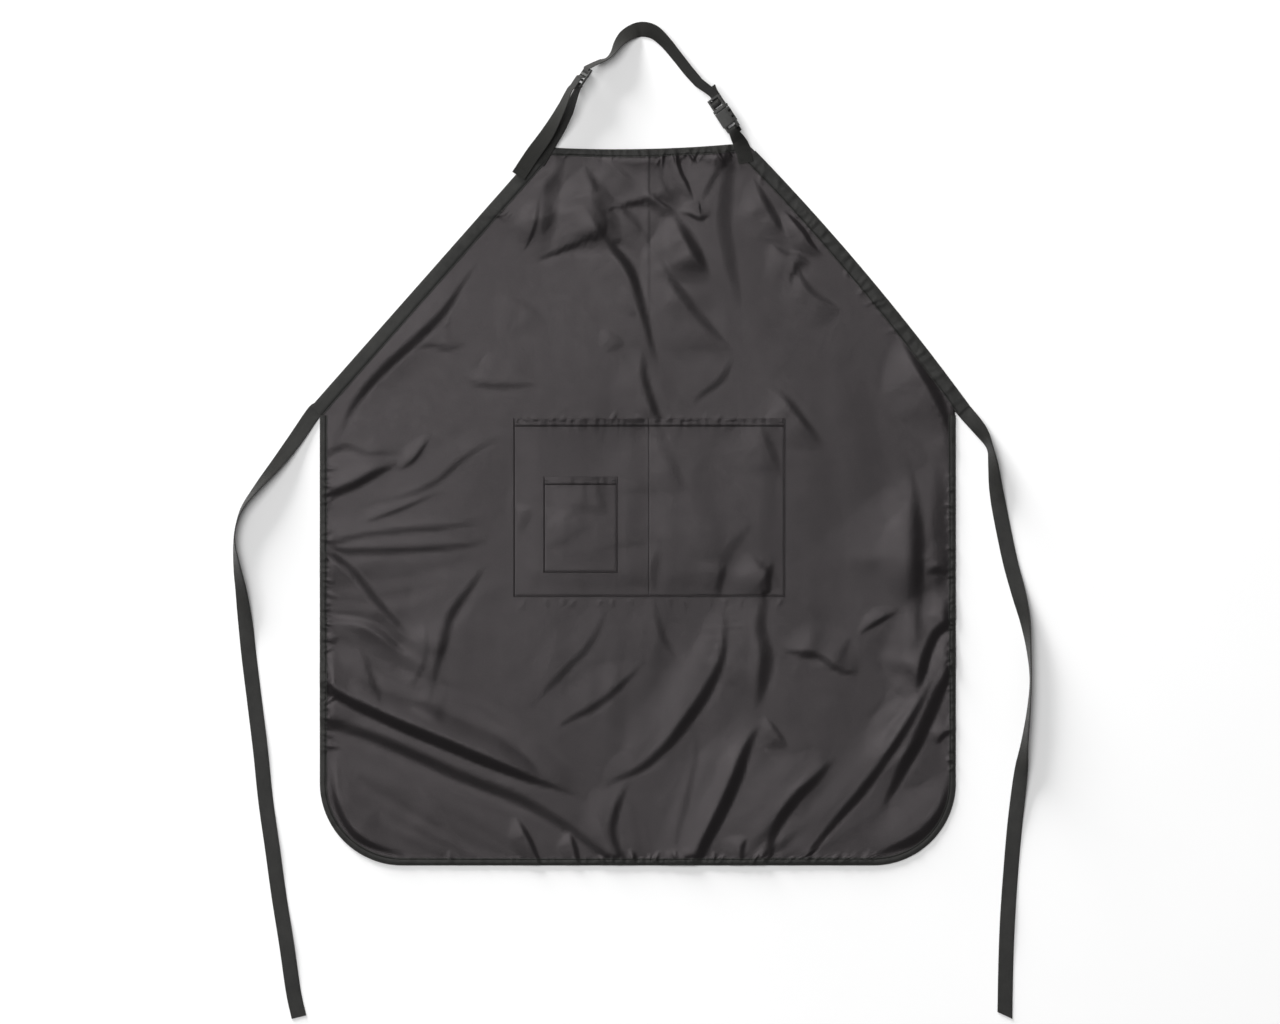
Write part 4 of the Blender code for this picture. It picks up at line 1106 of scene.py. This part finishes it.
TIE_LIFT, TIE_LIFTED = 0.0008, 12    # rise at the band, and the stations that it takes
TIE_SLANT = 0.004           # the right tie's end is cut askew


def make_tie(side, route, pivot, corner):
    """Waist tie that runs out of its band's end; it bends at the waist corner."""
    way = band_way(side)
    inward = Vector((-way.y, way.x))
    if inward.x * pivot.x > 0:
        inward.negate()
    shift = inward * (BAND_WIDTH / 2 - (pivot - corner).dot(inward))
    tucked = [pivot - way * TIE_TUCK + shift, pivot - way * (TIE_TUCK / 2) + shift,
              pivot + shift * 0.5]
    route = tuple((point.x / MM, point.y / MM, 0) for point in tucked) + route[1:]
    stations = lying(route, TIE_WIDTH, TIE_T, FLOOR + CLEARANCE)
    for k, (centre, _) in enumerate(stations):
        centre.z += TIE_LIFT * float(ease(1 - k / TIE_LIFTED))
    obj, lines = strip(side + "_tie_tape", stations, TIE_WIDTH, TIE_T, step=0.0016,
                       slant=TIE_SLANT if side == "right" else 0.0)
    dress(obj, TAPE, side + "_waist_tie", body=None)
    length = lines[3][-1]
    line = strip_line(lines, TIE_WIDTH / 2 - 0.0022, TIE_TUCK * 1.4, length - 0.002)
    seam = stitches(side + "_tie_stitches", [line], body=None)
    for piece in (obj, seam):
        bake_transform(piece)


SLIDER_CENTRE = Vector((-0.0790, 0.4010, 0.0135))
SLIDER_HEADING, SLIDER_ROLL = 56.0, 66.0
SLIDER_LENGTH, SLIDER_BAR = 0.025, 0.003
BUCKLE_CENTRE = Vector((0.0870, 0.3612, 0.0132))
BUCKLE_HEADING, BUCKLE_ROLL = 123.0, 56.0
SOCKET_SLOT = (-0.0246, -0.0204)
SOCKET_END = -0.0272
PLUG_SLOTS = ((0.0048, 0.0090), (0.0118, 0.0160))
PLUG_END = 0.0184
GAP = 0.0003
PLY = 0.0021
LOOP_R = 0.0027
OVER_LOOP = LOOP_R + WEBBING_T + 2 * GAP
WEAVE_LEAD = 0.0009
STUB_DROP = 0.0041
PLY_TURN = 0.0040
STRAP_RETURN = 0.007
STRAP_ENTRY = 0.005
TAIL_RUN = 0.011
TAIL_LIFT = 0.0008
TAIL_SEAM_RISE = 1.15     # its hem's stitches, in half thicknesses
WEBBING_SLIM = 0.92       # of the CAD's thickness, for selvages that stand proud


def placing(centre, heading, roll):
    """Frame of a fitting on the webbing: X across, Y along, Z out of its upper face."""
    along = Vector((math.cos(math.radians(heading)), math.sin(math.radians(heading)), 0.0))
    right = Vector((along.y, -along.x, 0.0))
    tilt = math.radians(roll)
    across = right * math.cos(tilt) + Vector((0.0, 0.0, math.sin(tilt)))
    columns = Matrix((across, along, across.cross(along))).transposed().to_4x4()
    return Matrix.Translation(centre) @ columns


SLIDER = placing(SLIDER_CENTRE, SLIDER_HEADING, SLIDER_ROLL)
BUCKLE = placing(BUCKLE_CENTRE, BUCKLE_HEADING, BUCKLE_ROLL)


def slider_bar(k):
    step = (SLIDER_LENGTH - SLIDER_BAR) / 3
    return -SLIDER_LENGTH / 2 + SLIDER_BAR / 2 + k * step


def on_fitting(place, points, turned=1.0):
    """Stations on a fitting: points are (along, height) in its frame."""
    across = place.to_3x3() @ Vector((-turned, 0.0, 0.0))
    return [(place @ Vector((0.0, along, height)), across.copy()) for along, height in points]


def loop_round(bar, start_height, steps=8):
    """Half circle over the far side of a bar, from start_height to its opposite."""
    radius, side = abs(start_height), math.copysign(1.0, start_height)
    angles = [math.pi * (0.5 - k / steps) for k in range(steps + 1)]
    return [(bar + radius * math.cos(a), side * radius * math.sin(a)) for a in angles]


def through_slot(start, end, steps=6):
    """S-shaped run of webbing through a slot, as (along, height) points."""
    points = []
    for k in range(steps + 1):
        t = k / steps
        turn = (1 - math.cos(math.pi * t)) / 2
        points.append((start[0] + (end[0] - start[0]) * t, start[1] + (end[1] - start[1]) * turn))
    return points


NECK_ROUTE = (
    (-59, 420, -72), (-50, 423.5, -78), (-43, 431, -70), (-36.5, 442, -50), (-27, 452, -25),
    (-11, 459, 0), (5, 456, 22), (19, 444, 40), (33, 427, 46), (48, 408, 48), (60, 394.5, 52),
)
TAIL_ROUTE = (
    (-102.5, 369, 56), (-112, 350.5, 42), (-123.5, 331, 22), (-140, 308, 5), (-156.5, 283, 0),
)
LEFT_STRAP_ROUTE = (
    (-133.5, 299, 0), (-125, 313.5, 0), (-116, 328.5, -8), (-106, 344, -26), (-96, 361.5, -46),
)
RIGHT_STRAP_ROUTE = (
    (116.5, 299, 0), (113.5, 312, 0), (111, 319, -7), (107, 326.5, -28),
)


def make_webbing(name, node, stations, body="apron", **looks):
    obj, lines = strip(name + "_webbing", stations, WEBBING_WIDTH, WEBBING_T * WEBBING_SLIM,
                       **looks)
    return dress(obj, WEBBING, node, body), lines


def make_neck_strap():
    """Webbing from below the slider's third bar round the neck to its turn on the plug."""
    run = through_slot((slider_bar(1) + WEAVE_LEAD, OVER_LOOP), (slider_bar(2) - WEAVE_LEAD, -PLY))
    run += through_slot((slider_bar(2) + WEAVE_LEAD, -PLY), (slider_bar(3) - WEAVE_LEAD, PLY))
    start = on_fitting(SLIDER, run + [(slider_bar(3) + SLIDER_BAR * 2 / 3, PLY)])
    loop = lying(NECK_ROUTE, WEBBING_WIDTH, WEBBING_T, FLOOR + 3 * CLEARANCE)
    lock_bar = (PLUG_SLOTS[0][1] + PLUG_SLOTS[1][0]) / 2
    end_bar = (PLUG_SLOTS[1][1] + PLUG_END) / 2
    turn = sum(PLUG_SLOTS[0]) / 2
    plug = [(PLUG_END + STRAP_ENTRY, -LOOP_R)]
    plug += through_slot((end_bar, -LOOP_R), (lock_bar, LOOP_R))
    plug += [(lock_bar - 0.25 * PLY_TURN, 0.93 * LOOP_R), (turn + 0.15 * PLY_TURN, 0.35 * LOOP_R),
             (turn - 0.1 * PLY_TURN, -0.4 * LOOP_R), (turn, -LOOP_R),
             (turn + 0.3 * PLY_TURN, -0.9 * STUB_DROP), (turn + 0.8 * PLY_TURN, -STUB_DROP),
             (end_bar, -STUB_DROP), (PLUG_END + 1.5 * PLY_TURN, -1.1 * STUB_DROP),
             (PLUG_END + 3 * PLY_TURN, -1.5 * STUB_DROP)]
    stations = start + loop + on_fitting(BUCKLE, plug, turned=-1.0)
    obj, _ = make_webbing("neck", "neck_strap", stations, body=None, step=0.0010)
    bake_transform(obj)


def make_tail():
    """Loose hemmed end of the webbing, from the slider's second bar downwards."""
    start = on_fitting(SLIDER, [(slider_bar(1) + WEAVE_LEAD - GAP, OVER_LOOP),
                                (slider_bar(0), OVER_LOOP),
                                (slider_bar(0) - STRAP_ENTRY, OVER_LOOP),
                                (slider_bar(0) - TAIL_RUN, OVER_LOOP + TAIL_LIFT)], turned=-1.0)
    rest = lying(TAIL_ROUTE, WEBBING_WIDTH, WEBBING_T, TAIL_REST)
    obj, lines = make_webbing("tail", "strap_tail", start + rest, body=None, step=0.0010,
                              hem=TAIL_HEM)
    centres, across, up, along = lines
    row = int(np.argmin(np.abs(along - (along[-1] - TAIL_HEM))))
    reach = across[row] * (WEBBING_WIDTH / 2 - SEAM_INSET)
    middle = centres[row] + up[row] * TAIL_SEAM_RISE
    seam = stitches("tail_hem_stitches", [[middle + reach, middle - reach]], "tail_hem_seam",
                    body=None)
    start = SLIDER @ Vector((0.0, slider_bar(0) - 0.002, 0.0))
    for piece in (obj, seam):
        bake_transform(piece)


def make_bib_straps():
    """Short webbing sewn to each bib corner and looped round its fitting's bar."""
    socket_bar = (SOCKET_SLOT[0] + SOCKET_END) / 2
    straps = (("left", LEFT_STRAP_ROUTE, SLIDER, slider_bar(0), STRAP_ENTRY, -LOOP_R),
              ("right", RIGHT_STRAP_ROUTE, BUCKLE, socket_bar, STRAP_ENTRY / 2, LOOP_R))
    for side, route, fitting, bar, entry, rise in straps:
        lower = lying(route, WEBBING_WIDTH, WEBBING_T, STRAP_REST)
        upper = on_fitting(fitting, [(bar - entry, rise)] + loop_round(bar, rise)
                           + [(bar - STRAP_RETURN, -rise)])
        _, lines = make_webbing(side + "_bib", side + "_bib_strap", lower + upper)
        box_stitch(side + "_box_stitches", lines, side + "_strap_stitch")


def box_stitch(name, lines, node):
    """Square of stitches with its diagonals, through the webbing's sewn end."""
    half, start = 0.006, 0.003
    left = strip_line(lines, half, start, start + 2 * half)
    right = strip_line(lines, -half, start, start + 2 * half)
    rows = [left, right, [left[0], right[0]], [left[-1], right[-1]], [left[0], right[-1]],
            [right[0], left[-1]]]
    stitches(name, rows, node, length=0.0020, pitch=0.0026)


# ---- stage, light and camera

def make_stage():
    bpy.ops.mesh.primitive_plane_add(size=14.0, location=(0, 0, FLOOR))
    floor = bpy.context.active_object
    floor.name = "floor"
    floor.data.materials.append(floor_card())


def softbox(name, place, aim, size, radiance, glossy=True):
    """Square soft light of even radiance."""
    data = bpy.data.lights.new(name, "AREA")
    data.shape = "SQUARE"
    data.size = size
    data.energy = radiance * math.pi * size * size
    lamp = bpy.data.objects.new(name, data)
    lamp.location = place
    lamp.rotation_euler = (Vector(aim) - Vector(place)).to_track_quat("-Z", "Y").to_euler()
    lamp.visible_camera = False
    lamp.visible_glossy = glossy
    bpy.context.scene.collection.objects.link(lamp)


WORLD_STRENGTH = 0.18


def make_lights():
    softbox("overhead_softbox", place=(-2.58, 2.05, 9.20), aim=(-0.05, -0.05, 0.0), size=6.60,
            radiance=4.7)
    softbox("low_shadow_light", place=(-9.20, 14.40, 3.50), aim=(0.0, 0.0, 0.0), size=6.40,
            radiance=50.0, glossy=False)
    world = bpy.data.worlds.new("studio")
    world.use_nodes = True
    background = world.node_tree.nodes["Background"]
    background.inputs["Color"].default_value = (1.0, 1.0, 1.0, 1.0)
    background.inputs["Strength"].default_value = WORLD_STRENGTH
    bpy.context.scene.world = world
    bpy.context.scene.view_settings.view_transform = "Standard"


VIEW_WIDTH = 1.536
VIEW_CENTRE = (-0.0108, -0.120)
CAMERA_HEIGHT = 8.0
SENSOR = 36.0


def make_camera():
    """Looks straight down, and frames the same width of floor at any height."""
    data = bpy.data.cameras.new("overhead_camera")
    data.sensor_width = SENSOR
    data.lens = SENSOR * CAMERA_HEIGHT / VIEW_WIDTH
    camera = bpy.data.objects.new("overhead_camera", data)
    camera.location = (*VIEW_CENTRE, FLOOR + CAMERA_HEIGHT)
    bpy.context.scene.collection.objects.link(camera)
    bpy.context.scene.camera = camera


# ---- the whole object


make_camera()
make_stage()
make_lights()
PANEL = make_panel()
POCKET = make_patch("pocket_cloth", "pocket_panel", POCKET_LOW, POCKET_HIGH, pocket_lift,
                    POCKET_DIVIDERS)
SMALL = make_patch("small_pocket_cloth", "small_pocket_panel", SMALL_LOW, SMALL_HIGH,
                   small_lift)
make_pocket_seams("pocket", POCKET_LOW, POCKET_HIGH, pocket_lift)
make_pocket_seams("small_pocket", SMALL_LOW, SMALL_HIGH, small_lift)
DIVIDER = [(0.0, POCKET_HIGH.y - HEM_DROP - 0.002), (0.0, POCKET_LOW.y + 0.004)]
stitches("pocket_divider_stitches", [on_patch(DIVIDER, pocket_lift)], "pocket_divider_seam")
make_tapes()
make_tie("left", LEFT_TIE_ROUTE, TIE_PIVOT_LEFT, WAIST_LEFT)
make_tie("right", RIGHT_TIE_ROUTE, TIE_PIVOT_RIGHT, WAIST_RIGHT)
make_neck_strap()
make_tail()
make_bib_straps()
for fitting in ("strap_slider", "buckle_socket", "buckle_plug", "buckle_prong_left",
                "buckle_prong_right"):
    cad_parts[fitting].data.materials.clear()
    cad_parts[fitting].data.materials.append(PLASTIC)
